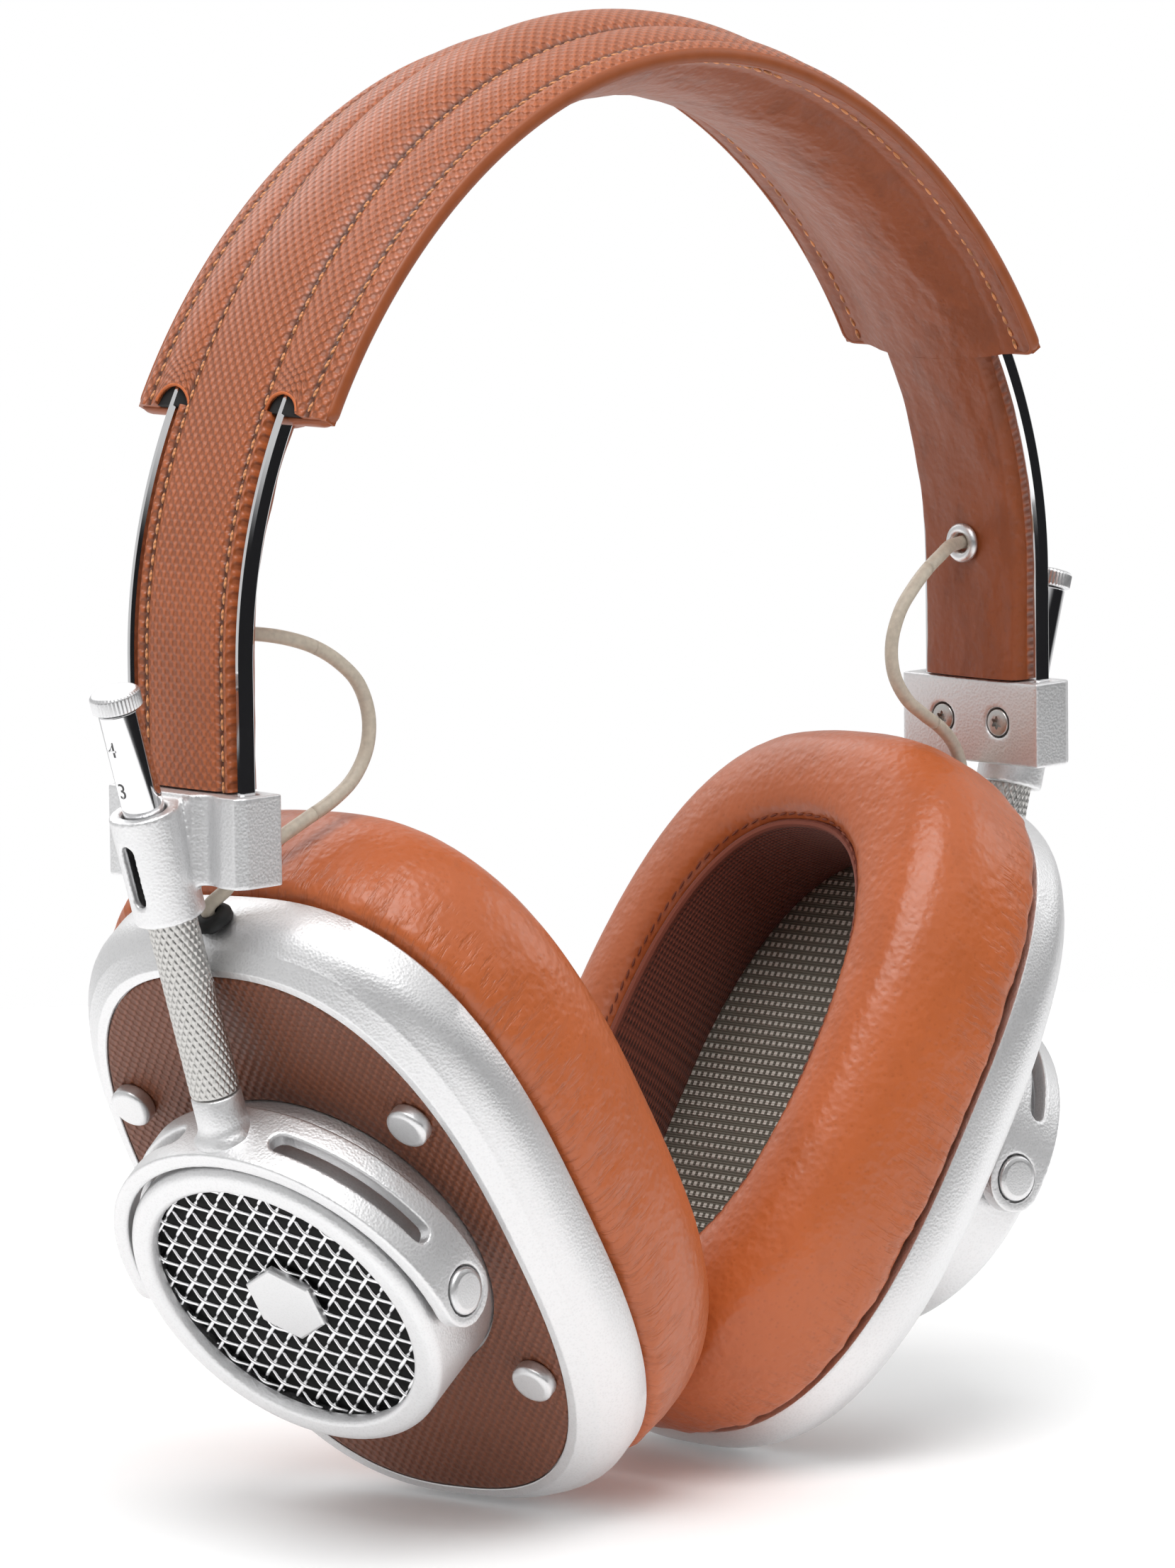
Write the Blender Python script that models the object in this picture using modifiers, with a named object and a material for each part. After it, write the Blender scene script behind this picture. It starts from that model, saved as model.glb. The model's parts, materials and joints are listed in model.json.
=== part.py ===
"""Over-ear headphones: a leather headband on two steel rails, sliding rods, yokes and tilting cups.

The object stands on its two cups.  +Z is up, the wearer faces -Y, and the wearer's left is +X.
Every moving piece is parented to an empty whose axis is the axis that it moves on.
"""
import math

import bmesh
import bpy
from mathutils import Matrix, Vector

MM = 0.001
FIT = 0.3 * MM                       # gap left between pieces that touch

# headband
ARCH_RADIUS = 80.0 * MM              # half the spacing of the rails, and the radius of the arch
ARCH_DIP = 1.4 * MM                  # how far the shoulders of the arch are pulled in
SPRING_HEIGHT = 122.7 * MM           # where the legs end and the arch begins
FLAP_HEIGHT = 156.5 * MM             # lower end of the wide part of the cover
COVER_HALF_WIDTH = 18.3 * MM
STRAP_HALF_WIDTH = 9.3 * MM            # between the rails, below the flaps
EDGE_THICKNESS = 1.9 * MM
CROWN_HEIGHT = 5.0 * MM              # padded centre over the rails' middle line, at the top
STRAP_HEIGHT = 1.5 * MM              # the same on the legs
LINING_DEPTH = 7.0 * MM              # padding under the rails' middle line, at the top
STRAP_DEPTH = 4.7 * MM               # the same on the legs
LINING_SKIN = 1.2 * MM
RAIL_WIDTH = 1.2 * MM
RAIL_DEPTH = 2.8 * MM
RAIL_SPACING = 21.2 * MM             # centre to centre, front to back
EYELET_HEIGHT = 126.7 * MM
EYELET_RADIUS = 2.9 * MM

# clamp that holds the rails and guides the rod
CLAMP_INNER_X = ARCH_RADIUS - 4.0 * MM
CLAMP_OUTER_X = ARCH_RADIUS + 4.0 * MM
CLAMP_HALF_WIDTH = 13.2 * MM
CLAMP_BOTTOM = 94.2 * MM
CLAMP_TOP = 106.6 * MM
GUIDE_RADIUS = 4.9 * MM
GUIDE_LENGTH = 15.5 * MM
SCREW_SPACING = 10.8 * MM
SCREW_HEAD_RADIUS = 2.0 * MM

# rod, measured along its axis from the bottom of its guide
ROD_X = ARCH_RADIUS + 4.42 * MM
ROD_HEIGHT = 89.85 * MM
ROD_LEAN = math.radians(16.94)
ROD_RADIUS = 2.85 * MM
SLEEVE_RADIUS = 3.4 * MM
SLEEVE_TOP = 1.0 * MM
SLEEVE_BOTTOM = -26.0 * MM
CAP_RADIUS = 3.45 * MM
CAP_BOTTOM = 30.0 * MM
CAP_HEIGHT = 2.7 * MM
TENON_RADIUS = 2.0 * MM
TENON_LENGTH = 4.0 * MM

# yoke
SWIVEL = math.radians(7.2)
PIN_DROP = 58.05 * MM                # pin axis below the guide, along the rod
PIN_INSET = 8.6 * MM                 # pin axis inward of the rod's axis
YOKE_RADIUS = 27.9 * MM
YOKE_THICKNESS = 2.4 * MM
YOKE_HALF_WIDTH = 5.0 * MM
SLOT_HALF_WIDTH = 1.5 * MM
SLOT_ANGLES = (math.radians(16.0), math.radians(70.0))
BUTTON_RADIUS = 3.25 * MM

# cup, measured outward from the leather plate
CUP_TILT = math.radians(15.5)
PIN_HEIGHT = 8.2 * MM                # pin axis over the plate
CUP_HALF_WIDTH = 36.0 * MM
CUP_HALF_HEIGHT = 52.0 * MM
CUP_SQUARENESS = 2.8
INLAY_INSET = 5.3 * MM
INLAY_THICKNESS = 0.8 * MM
SHELL_WALL = 2.0 * MM
SHELL_DEPTH = 11.0 * MM
HOUSING_RADIUS = 24.6 * MM
HOUSING_HEIGHT = 15.1 * MM
HOUSING_BORE = HOUSING_RADIUS - 2.6 * MM
MESH_RADIUS = HOUSING_RADIUS - 3.8 * MM
MESH_HEIGHT = 12.9 * MM
MESH_THICKNESS = 0.8 * MM
BADGE_RADIUS = 6.3 * MM
BADGE_THICKNESS = 1.0 * MM
RIVET_FRONT = 24.4 * MM
RIVET_UP = 23.1 * MM
RIVET_RADIUS = 3.1 * MM
RIVET_HEAD = 2.2 * MM
DRIVER_RADIUS = 22.5 * MM
BAFFLE_THICKNESS = 2.2 * MM
PAD_THICKNESS = 23.0 * MM
PAD_BULGE = 0.9 * MM
PAD_GAP = 0.5 * MM                   # between the two pads, where they nearly meet below
OPENING_HALF_WIDTH = 23.0 * MM
OPENING_HALF_HEIGHT = 36.0 * MM
CLOTH_HALF_WIDTH = 28.0 * MM
CLOTH_HALF_HEIGHT = 41.0 * MM
CLOTH_THICKNESS = 0.5 * MM
CABLE_RADIUS = 0.975 * MM
GROMMET_RADIUS = 2.9 * MM
GROMMET_DEPTH_ON_CUP = 5.5 * MM      # how far behind the plate the cable enters

ROUND = 28                           # sides of the larger turned pieces
SMALL_ROUND = 14
OUTLINE_POINTS = 44
ARCH_STEPS = 30
LEG_STEPS = 4

MATERIALS = {
    "coated_canvas": ((0.62, 0.21, 0.085), 0.55, 0.0),
    "lambskin": ((0.47, 0.15, 0.075), 0.5, 0.0),
    "foam": ((0.10, 0.10, 0.10), 0.95, 0.0),
    "polished_steel": ((0.80, 0.80, 0.81), 0.12, 1.0),
    "satin_aluminium": ((0.86, 0.86, 0.87), 0.38, 1.0),
    "woven_wire": ((0.45, 0.45, 0.46), 0.25, 1.0),
    "black_polymer": ((0.03, 0.03, 0.03), 0.6, 0.0),
    "magnet_steel": ((0.25, 0.25, 0.27), 0.4, 1.0),
    "driver_film": ((0.55, 0.50, 0.42), 0.35, 0.0),
    "board_green": ((0.03, 0.16, 0.07), 0.5, 0.0),
    "acoustic_cloth": ((0.20, 0.20, 0.16), 0.9, 0.0),
    "black_rubber": ((0.02, 0.02, 0.02), 0.7, 0.0),
    "cream_cable": ((0.66, 0.62, 0.53), 0.5, 0.0),
}


# ---------------------------------------------------------------- scene and object helpers

def clear_scene():
    for obj in list(bpy.data.objects):
        bpy.data.objects.remove(obj, do_unlink=True)


def make_collection(name):
    collection = bpy.data.collections.new(name)
    bpy.context.scene.collection.children.link(collection)
    return collection


def material(name):
    found = bpy.data.materials.get(name)
    if found:
        return found
    colour, roughness, metallic = MATERIALS[name]
    made = bpy.data.materials.new(name)
    made.use_nodes = True
    shader = made.node_tree.nodes["Principled BSDF"]
    shader.inputs["Base Color"].default_value = (*colour, 1.0)
    shader.inputs["Roughness"].default_value = roughness
    shader.inputs["Metallic"].default_value = metallic
    made.diffuse_color = (*colour, 1.0)
    return made


def link(name, data, finish=None, parent=None, place=None, collection=None):
    """Put data in the scene as an object; place is its matrix under its parent."""
    obj = bpy.data.objects.new(name, data)
    (collection or PARTS).objects.link(obj)
    if finish:
        data.materials.append(material(finish))
    if parent:
        obj.parent = parent
    if place is not None:
        obj.matrix_local = place
    return obj


def mesh_from(bm, name):
    bmesh.ops.recalc_face_normals(bm, faces=bm.faces)
    mesh = bpy.data.meshes.new(name)
    bm.to_mesh(mesh)
    bm.free()
    return mesh


def shade(obj, angle=35.0):
    obj.data.shade_smooth()
    obj.data.set_sharp_from_angle(angle=math.radians(angle))


def cutter(name, mesh, parent=None, place=None):
    obj = link(name, mesh, parent=parent, place=place, collection=CUTTERS)
    obj.hide_render = True
    obj.display_type = "WIRE"
    return obj


def boolean(obj, other, operation="DIFFERENCE"):
    modifier = obj.modifiers.new(other.name, "BOOLEAN")
    modifier.object = other
    modifier.operation = operation
    modifier.solver = "EXACT"


# ---------------------------------------------------------------- shape helpers

def profile_mesh(name, profile):
    """Edges of a (radius, height) profile; it closes on itself unless both its ends lie on the axis."""
    bm = bmesh.new()
    verts = [bm.verts.new((radius, 0.0, height)) for radius, height in profile]
    for one, two in zip(verts, verts[1:]):
        bm.edges.new((one, two))
    if profile[0][0] > 0.0:
        bm.edges.new((verts[-1], verts[0]))
    mesh = bpy.data.meshes.new(name)
    bm.to_mesh(mesh)
    bm.free()
    return mesh


def turn(obj, sides=SMALL_ROUND):
    """Turn a profile, drawn from the top down its outer side, about the object's Z axis."""
    screw = obj.modifiers.new("turned", "SCREW")
    screw.axis = "Z"
    screw.angle = math.tau
    screw.steps = sides
    screw.render_steps = sides
    screw.use_merge_vertices = True
    screw.merge_threshold = 0.00002
    screw.use_smooth_shade = False
    return obj


def turned(name, profile, finish, parent, place=None, sides=SMALL_ROUND):
    return turn(link(name, profile_mesh(name, profile), finish, parent, place), sides)


def turned_cutter(name, profile, parent, place=None, sides=SMALL_ROUND):
    return turn(cutter(name, profile_mesh(name, profile), parent, place), sides)


def loft_mesh(name, sections, ring=False):
    """Join loops of equally many points; ring joins the last loop to the first, else ends are capped."""
    bm = bmesh.new()
    loops = [[bm.verts.new(point) for point in section] for section in sections]
    count = len(loops[0])
    following = loops[1:] + loops[:1] if ring else loops[1:]
    for one, two in zip(loops, following):
        for i in range(count):
            j = (i + 1) % count
            bm.faces.new((one[i], one[j], two[j], two[i]))
    if not ring:
        bm.faces.new(loops[0])
        bm.faces.new(loops[-1])
    bmesh.ops.triangulate(bm, faces=bm.faces)
    return mesh_from(bm, name)


def box_mesh(name, low, high):
    bm = bmesh.new()
    bmesh.ops.create_cube(bm, size=1.0)
    size = [b - a for a, b in zip(low, high)]
    middle = [(a + b) / 2 for a, b in zip(low, high)]
    bmesh.ops.transform(bm, verts=bm.verts, matrix=Matrix.Translation(middle) @ Matrix.Diagonal((*size, 1.0)))
    return mesh_from(bm, name)


def cylinder_mesh(name, radius, low, high, sides=SMALL_ROUND):
    bm = bmesh.new()
    bmesh.ops.create_cone(bm, cap_ends=True, segments=sides, radius1=radius, radius2=radius, depth=high - low)
    bmesh.ops.translate(bm, verts=bm.verts, vec=(0.0, 0.0, (high + low) / 2))
    return mesh_from(bm, name)


def flat_curve(name, outlines, thickness):
    """A flat plate in its own XY plane from an outline and its holes, centred on Z."""
    curve = bpy.data.curves.new(name, "CURVE")
    curve.dimensions = "2D"
    curve.fill_mode = "BOTH"
    curve.extrude = thickness / 2
    for outline in outlines:
        spline = curve.splines.new("POLY")
        spline.points.add(len(outline) - 1)
        for point, (x, y) in zip(spline.points, outline):
            point.co = (x, y, 0.0, 1.0)
        spline.use_cyclic_u = True
    return curve


def ring_points(radius, count, x=0.0, y=0.0):
    return [(x + radius * math.cos(math.tau * i / count), y + radius * math.sin(math.tau * i / count))
            for i in range(count)]


def superellipse(half_width, half_height, squareness, x, count=OUTLINE_POINTS):
    """An oval loop in the plane at x, as wide as half_width in Y and half_height in Z."""
    points = []
    for i in range(count):
        angle = math.tau * (i + 0.5) / count
        c, s = math.cos(angle), math.sin(angle)
        points.append((x,
                       half_width * math.copysign(abs(c) ** (2 / squareness), c),
                       half_height * math.copysign(abs(s) ** (2 / squareness), s)))
    return points


def cup_loop(inset, height):
    """The cup's outline drawn in by inset, at a height over the leather plate."""
    return superellipse(CUP_HALF_WIDTH - inset, CUP_HALF_HEIGHT - inset,
                        CUP_SQUARENESS - 45.0 * inset, height - PIN_HEIGHT)


def oval_loop(half_width, half_height, height):
    return superellipse(half_width, half_height, 2.4, height - PIN_HEIGHT)


def circle_loop(radius, height):
    return superellipse(radius, radius, 2.0, height - PIN_HEIGHT)


ALONG_X = Matrix.Rotation(math.pi / 2, 4, "Y")      # a turned piece's axis onto the cup's outward axis
ALONG_Y = Matrix.Rotation(-math.pi / 2, 4, "X")     # and onto the front-to-back axis


def end_name(side, y):
    """A side's own Y points to the back on the left and to the front on the right."""
    return "front" if (y < 0) == (side == "left") else "back"


def on_cup(height, up=0.0, across=0.0):
    """Place for a turned piece whose Z points outward from the cup, over the leather plate."""
    return Matrix.Translation((height - PIN_HEIGHT, across, up)) @ ALONG_X


# ---------------------------------------------------------------- headband

def arch_point(step):
    """Middle line of the band from the left leg over the top to the right leg: place and outward normal.

    step runs from 0 at the left clamp to 1 at the right clamp, and the curve part takes most of it."""
    angle = math.pi * step
    radius = ARCH_RADIUS - ARCH_DIP * math.sin(2 * angle) ** 2
    slope = -4 * ARCH_DIP * math.sin(2 * angle) * math.cos(2 * angle)
    place = Vector((radius * math.cos(angle), 0.0, SPRING_HEIGHT + radius * math.sin(angle)))
    tangent = Vector((slope * math.cos(angle) - radius * math.sin(angle), 0.0,
                      slope * math.sin(angle) + radius * math.cos(angle))).normalized()
    return place, Vector((tangent.z, 0.0, -tangent.x))


def band_path(bottom):
    """Places, outward normals and rise (0 on the legs, 1 at the top) along the whole band."""
    path = []
    for i in range(LEG_STEPS):
        height = bottom + (SPRING_HEIGHT - bottom) * i / LEG_STEPS
        path.append((Vector((ARCH_RADIUS, 0.0, height)), Vector((1.0, 0.0, 0.0))))
    path += [arch_point(i / ARCH_STEPS) for i in range(ARCH_STEPS + 1)]
    path += [(Vector((-place.x, 0.0, place.z)), Vector((-1.0, 0.0, 0.0)))
             for place, _normal in reversed(path[:LEG_STEPS])]
    top = SPRING_HEIGHT + ARCH_RADIUS
    start = SPRING_HEIGHT + 0.3 * ARCH_RADIUS
    result = []
    for place, normal in path:
        share = min(max((place.z - start) / (0.92 * (top - start)), 0.0), 1.0)
        result.append((place, normal, share * share * (3 - 2 * share)))
    return result


def sweep(name, bottom, section):
    """Sweep section(rise), a loop of (y, outward) pairs, along the band."""
    loops = []
    for place, normal, rise in band_path(bottom):
        loops.append([place + normal * out + Vector((0.0, y, 0.0)) for y, out in section(rise)])
    return loft_mesh(name, loops)


def mix(low, high, share):
    return low + (high - low) * share


def mirrored(half):
    """Close a half section, given from the front edge to the middle, with its mirror image."""
    return half + [(-y, out) for y, out in reversed(half)]


RAIL_INNER = RAIL_SPACING / 2 - RAIL_WIDTH / 2 - FIT      # the channel that each rail lies in
RAIL_OUTER = RAIL_SPACING / 2 + RAIL_WIDTH / 2 + FIT
RAIL_ROOF = RAIL_DEPTH / 2 + FIT
STITCH_LINE = 7.3 * MM
FOAM_HALF_WIDTH = 8.1 * MM


def cover_section(rise):
    seam = mix(STRAP_HEIGHT, CROWN_HEIGHT * 0.55, rise)
    crown = mix(STRAP_HEIGHT, CROWN_HEIGHT, rise)
    over_rail = max(seam * 0.95, RAIL_ROOF + 0.6 * MM)
    parting = (FIT - EDGE_THICKNESS) / 2
    top = [(-COVER_HALF_WIDTH, parting), (-COVER_HALF_WIDTH, 0.0), (-COVER_HALF_WIDTH + 2.8 * MM, 1.3 * MM),
           (-RAIL_OUTER - 0.4 * MM, over_rail), (-RAIL_INNER + 0.4 * MM, max(seam, over_rail * rise)),
           (-STITCH_LINE, seam), (-STITCH_LINE + 2.8 * MM, mix(seam, crown, 0.75)), (-1.5 * MM, crown)]
    under = [(-RAIL_OUTER, parting), (-RAIL_OUTER, RAIL_ROOF), (-RAIL_INNER, RAIL_ROOF),
             (-RAIL_INNER, FIT / 2), (-1.5 * MM, FIT / 2)]
    return mirrored(top) + mirrored(under)[::-1]


def lining_surface(rise):
    """Front half of the padded side, from the channel beside the rail to the middle."""
    depth = mix(STRAP_DEPTH, LINING_DEPTH, rise)
    return [(-FOAM_HALF_WIDTH - FIT, -mix(0.62, 0.66, rise) * depth), (-5.5 * MM, -0.89 * depth),
            (-1.5 * MM, -depth)]


def lining_section(rise):
    parting = -(FIT + EDGE_THICKNESS) / 2
    padded = lining_surface(rise)
    under = [(-COVER_HALF_WIDTH, parting), (-COVER_HALF_WIDTH, -EDGE_THICKNESS),
             (-RAIL_OUTER - 1.0 * MM, -RAIL_ROOF - 0.7 * MM),
             (padded[0][0] - 0.5 * MM, padded[0][1])] + padded[1:]
    channel = [(y, out + LINING_SKIN) for y, out in padded]
    top = [(-RAIL_OUTER, parting), (-RAIL_OUTER, -RAIL_ROOF), (-RAIL_INNER, -RAIL_ROOF),
           (-RAIL_INNER, -FIT / 2), (-FOAM_HALF_WIDTH - FIT, -FIT / 2)] + channel
    return mirrored(under) + mirrored(top)[::-1]


def foam_section(rise):
    bottom = [(y + FIT, out + LINING_SKIN + FIT) for y, out in lining_surface(rise)]
    return mirrored([(-FOAM_HALF_WIDTH, -FIT / 2)] + bottom)


def rail_outline():
    """Side view of a rail: out along its outer edge and back along its inner edge."""
    path = band_path(CLAMP_BOTTOM + 2 * MM)
    edges = [[place + normal * out for place, normal, _rise in path] for out in (RAIL_DEPTH / 2, -RAIL_DEPTH / 2)]
    return [(point.x, point.z) for point in edges[0] + edges[1][::-1]]


def flap_cutters():
    """Four boxes that cut the cover and lining back to the strap's width below the flaps."""
    boxes = []
    for side in (-1, 1):
        for front in (-1, 1):
            xs = sorted((side * (ARCH_RADIUS - 22 * MM), side * (ARCH_RADIUS + 12 * MM)))
            ys = sorted((front * STRAP_HALF_WIDTH, front * (COVER_HALF_WIDTH + 5 * MM)))
            name = f"flap_cut_{'left' if side > 0 else 'right'}_{'front' if front < 0 else 'back'}"
            boxes.append(cutter(name, box_mesh(name, (xs[0], ys[0], CLAMP_BOTTOM),
                                               (xs[1], ys[1], FLAP_HEIGHT))))
    return boxes


def headband():
    leather_bottom = CLAMP_TOP + FIT
    cover = link("headband_cover", sweep("cover", leather_bottom, cover_section), "coated_canvas")
    lining = link("headband_lining", sweep("lining", leather_bottom, lining_section), "lambskin")
    foam = link("headband_foam", sweep("foam", leather_bottom + 2 * MM, foam_section), "foam")
    for box in flap_cutters():
        boolean(cover, box)
        boolean(lining, box)
    for name, y in (("rail_front", -RAIL_SPACING / 2), ("rail_back", RAIL_SPACING / 2)):
        place = Matrix.Translation((0.0, y, 0.0)) @ Matrix.Rotation(math.pi / 2, 4, "X")
        link(name, flat_curve(name, [rail_outline()], RAIL_WIDTH), "polished_steel", None, place)
    for obj in (cover, lining, foam):
        shade(obj, 30.0)
    return lining


# ---------------------------------------------------------------- clamp, rod and yoke

def eyelet(side, frame, lining):
    """Metal ring where the cable leaves the padding; its axis runs inward along the side's -X."""
    depth = STRAP_DEPTH + 2 * FIT
    place = Matrix.Translation((ARCH_RADIUS - depth, 0.0, EYELET_HEIGHT)) @ ALONG_X
    hole = cutter(f"{side}_eyelet_hole", cylinder_mesh("eyelet_hole", 2.1 * MM, -2 * MM, LINING_SKIN + 1 * MM),
                  frame, place)
    boolean(lining, hole)
    bore = CABLE_RADIUS + 0.4 * MM
    tube = 1.8 * MM
    profile = [(bore, LINING_SKIN - FIT), (tube, LINING_SKIN - FIT), (tube, 0.0), (EYELET_RADIUS, 0.0),
               (EYELET_RADIUS, -0.3 * MM), (EYELET_RADIUS - 0.6 * MM, -0.8 * MM), (bore, -0.8 * MM)]
    turned(f"{side}_eyelet", profile, "polished_steel", frame, place)


def clamp(side, frame, arm):
    block = link(f"{side}_clamp",
                 box_mesh("clamp", (CLAMP_INNER_X, -CLAMP_HALF_WIDTH, CLAMP_BOTTOM),
                          (CLAMP_OUTER_X, CLAMP_HALF_WIDTH, CLAMP_TOP)), "satin_aluminium", frame)
    edges = block.modifiers.new("edges", "BEVEL")
    edges.width = 0.8 * MM
    edges.segments = 2
    guide = cutter(f"{side}_guide", cylinder_mesh("guide", GUIDE_RADIUS, 0.0, GUIDE_LENGTH, ROUND), arm)
    boolean(block, guide, "UNION")
    neck = ROD_RADIUS + FIT
    throat = SLEEVE_RADIUS + FIT
    step = GUIDE_LENGTH - 3 * MM
    bore = [(0.0, GUIDE_LENGTH + 4 * MM), (neck, GUIDE_LENGTH + 4 * MM), (neck, step), (throat, step),
            (throat, -4 * MM), (0.0, -4 * MM)]
    boolean(block, turned_cutter(f"{side}_guide_bore", bore, arm, None, ROUND))
    window = box_mesh("window", (ROD_RADIUS, -1.1 * MM, 3 * MM), (GUIDE_RADIUS + 2 * MM, 1.1 * MM, 12 * MM))
    boolean(block, cutter(f"{side}_window", window, arm))
    for y in (-1, 1):
        end = end_name(side, y)
        middle = y * RAIL_SPACING / 2
        half, depth = RAIL_WIDTH / 2 + FIT, RAIL_DEPTH / 2 + FIT
        slot = box_mesh("rail_slot", (ARCH_RADIUS - depth, middle - half, CLAMP_BOTTOM + 2 * MM - FIT),
                        (ARCH_RADIUS + depth, middle + half, CLAMP_TOP + 2 * MM))
        boolean(block, cutter(f"{side}_rail_slot_{end}", slot, frame))
        place = (Matrix.Translation((CLAMP_INNER_X, y * SCREW_SPACING / 2, (CLAMP_TOP + CLAMP_BOTTOM) / 2))
                 @ ALONG_X)
        seat = SCREW_HEAD_RADIUS + FIT
        shank = 1.0 * MM
        hole = [(0.0, 5.4 * MM), (shank + FIT, 5.4 * MM), (shank + FIT, 1.3 * MM), (seat, 1.3 * MM),
                (seat, -1 * MM), (0.0, -1 * MM)]
        boolean(block, turned_cutter(f"{side}_screw_hole_{end}", hole, frame, place))
        screw = [(0.0, 5 * MM), (shank, 5 * MM), (shank, 1.0 * MM), (SCREW_HEAD_RADIUS, 1.0 * MM),
                 (SCREW_HEAD_RADIUS, 0.0), (0.0, 0.0)]
        turned(f"{side}_clamp_screw_{end}", screw, "polished_steel", frame, place)
    shade(block)


def rod(side, slide):
    """Numbered upper rod with its tenon, its cap, and the knurled sleeve; all slide together."""
    stud = 1.2 * MM
    well = 4 * MM
    core = [(0.0, CAP_BOTTOM - well), (stud + FIT, CAP_BOTTOM - well), (stud + FIT, CAP_BOTTOM),
            (ROD_RADIUS, CAP_BOTTOM), (ROD_RADIUS, SLEEVE_TOP + FIT), (TENON_RADIUS, SLEEVE_TOP + FIT),
            (TENON_RADIUS, SLEEVE_BOTTOM - TENON_LENGTH), (0.0, SLEEVE_BOTTOM - TENON_LENGTH)]
    cap_foot = CAP_BOTTOM + FIT
    cap = [(0.0, CAP_BOTTOM + CAP_HEIGHT), (CAP_RADIUS - 0.4 * MM, CAP_BOTTOM + CAP_HEIGHT),
           (CAP_RADIUS, CAP_BOTTOM + CAP_HEIGHT - 0.4 * MM), (CAP_RADIUS, cap_foot), (stud, cap_foot),
           (stud, CAP_BOTTOM - well + FIT), (0.0, CAP_BOTTOM - well + FIT)]
    sleeve = [(TENON_RADIUS + FIT, SLEEVE_TOP), (SLEEVE_RADIUS, SLEEVE_TOP), (SLEEVE_RADIUS, SLEEVE_BOTTOM),
              (TENON_RADIUS + FIT, SLEEVE_BOTTOM)]
    for name, profile in (("rod", core), ("rod_cap", cap), ("knurled_sleeve", sleeve)):
        turned(f"{side}_{name}", profile, "polished_steel", slide, None, 20)


YOKE_INNER = YOKE_RADIUS - YOKE_THICKNESS
YOKE_MIDDLE = YOKE_RADIUS - YOKE_THICKNESS / 2
YOKE_LEAN = math.asin(PIN_INSET / YOKE_MIDDLE)       # brings the top of the yoke under the rod


def band_loops(inner, outer, half_widths):
    """Loops of a band that runs over the top; half_widths holds (angle or drop, half width) in order.

    An angle is measured from the top; a string 'front' or 'back' with a drop goes straight down."""
    loops = []
    for (end, value), half in half_widths:
        loop = []
        for radius, x in ((inner, -half), (inner, half), (outer, half), (outer, -half)):
            if end == "arc":
                loop.append((x, radius * math.sin(value), radius * math.cos(value)))
            else:
                loop.append((x, radius * end, -value))
        loops.append(loop)
    return loops


def yoke_stations():
    """The half ring and the round ends below the pins."""
    drops = [YOKE_HALF_WIDTH * math.sin(math.radians(a)) for a in (78, 62, 45, 25)]
    ends = [(drop, math.sqrt(YOKE_HALF_WIDTH ** 2 - drop ** 2)) for drop in drops]
    arc = [(("arc", math.radians(-90 + 180 * i / 24)), YOKE_HALF_WIDTH) for i in range(25)]
    return ([((-1, drop), half) for drop, half in ends] + arc
            + [((1, drop), half) for drop, half in reversed(ends)])


def slot_stations(side):
    first, last = SLOT_ANGLES
    turn = SLOT_HALF_WIDTH / YOKE_MIDDLE
    stations = [(first + turn * (1 - math.cos(a)), SLOT_HALF_WIDTH * math.sin(a))
                for a in (math.radians(20), math.radians(45), math.radians(70))]
    stations += [(first + turn + (last - first - 2 * turn) * i / 6, SLOT_HALF_WIDTH) for i in range(7)]
    stations += [(last - turn * (1 - math.cos(a)), SLOT_HALF_WIDTH * math.sin(a))
                 for a in (math.radians(70), math.radians(45), math.radians(20))]
    return [(("arc", side * angle), half) for angle, half in stations]


def yoke(side, swivel):
    lean = Matrix.Translation((-PIN_INSET, 0.0, -PIN_DROP)) @ Matrix.Rotation(YOKE_LEAN, 4, "Y")
    body = link(f"{side}_yoke", loft_mesh("yoke", band_loops(YOKE_INNER, YOKE_RADIUS, yoke_stations())),
                "satin_aluminium", swivel, lean)
    collar_foot = -PIN_DROP + YOKE_MIDDLE * math.cos(YOKE_LEAN)
    collar = cylinder_mesh("collar", SLEEVE_RADIUS + 0.1 * MM, collar_foot, SLEEVE_BOTTOM - FIT, 24)
    boolean(body, cutter(f"{side}_collar", collar, swivel), "UNION")
    socket = cylinder_mesh("socket", TENON_RADIUS + FIT, SLEEVE_BOTTOM - TENON_LENGTH - FIT,
                           SLEEVE_BOTTOM + 3 * MM, SMALL_ROUND)
    boolean(body, cutter(f"{side}_yoke_socket", socket, swivel))
    for y in (-1, 1):
        slot = loft_mesh("slot", band_loops(YOKE_INNER - 2 * MM, YOKE_RADIUS + 2 * MM, slot_stations(y)))
        boolean(body, cutter(f"{side}_yoke_slot_{end_name(side, y)}", slot, swivel, lean))
    eye = cylinder_mesh("eye", BUTTON_RADIUS + FIT, -YOKE_RADIUS - 3 * MM, YOKE_RADIUS + 3 * MM, 24)
    boolean(body, cutter(f"{side}_yoke_eyes", eye, swivel, lean @ ALONG_Y))
    shade(body)
    shank = 1.6 * MM
    head = YOKE_INNER + FIT
    foot = HOUSING_RADIUS - 1.9 * MM
    pin = [(0.0, YOKE_RADIUS + 0.1 * MM), (BUTTON_RADIUS, YOKE_RADIUS + 0.1 * MM), (BUTTON_RADIUS, head),
           (shank, head), (shank, foot), (0.0, foot)]
    for y in (-1, 1):
        place = (Matrix.Translation((-PIN_INSET, 0.0, -PIN_DROP))
                 @ Matrix.Rotation(-y * math.pi / 2, 4, "X"))
        turned(f"{side}_pivot_{end_name(side, y)}", pin, "satin_aluminium", swivel, place, 20)


# ---------------------------------------------------------------- cup

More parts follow.
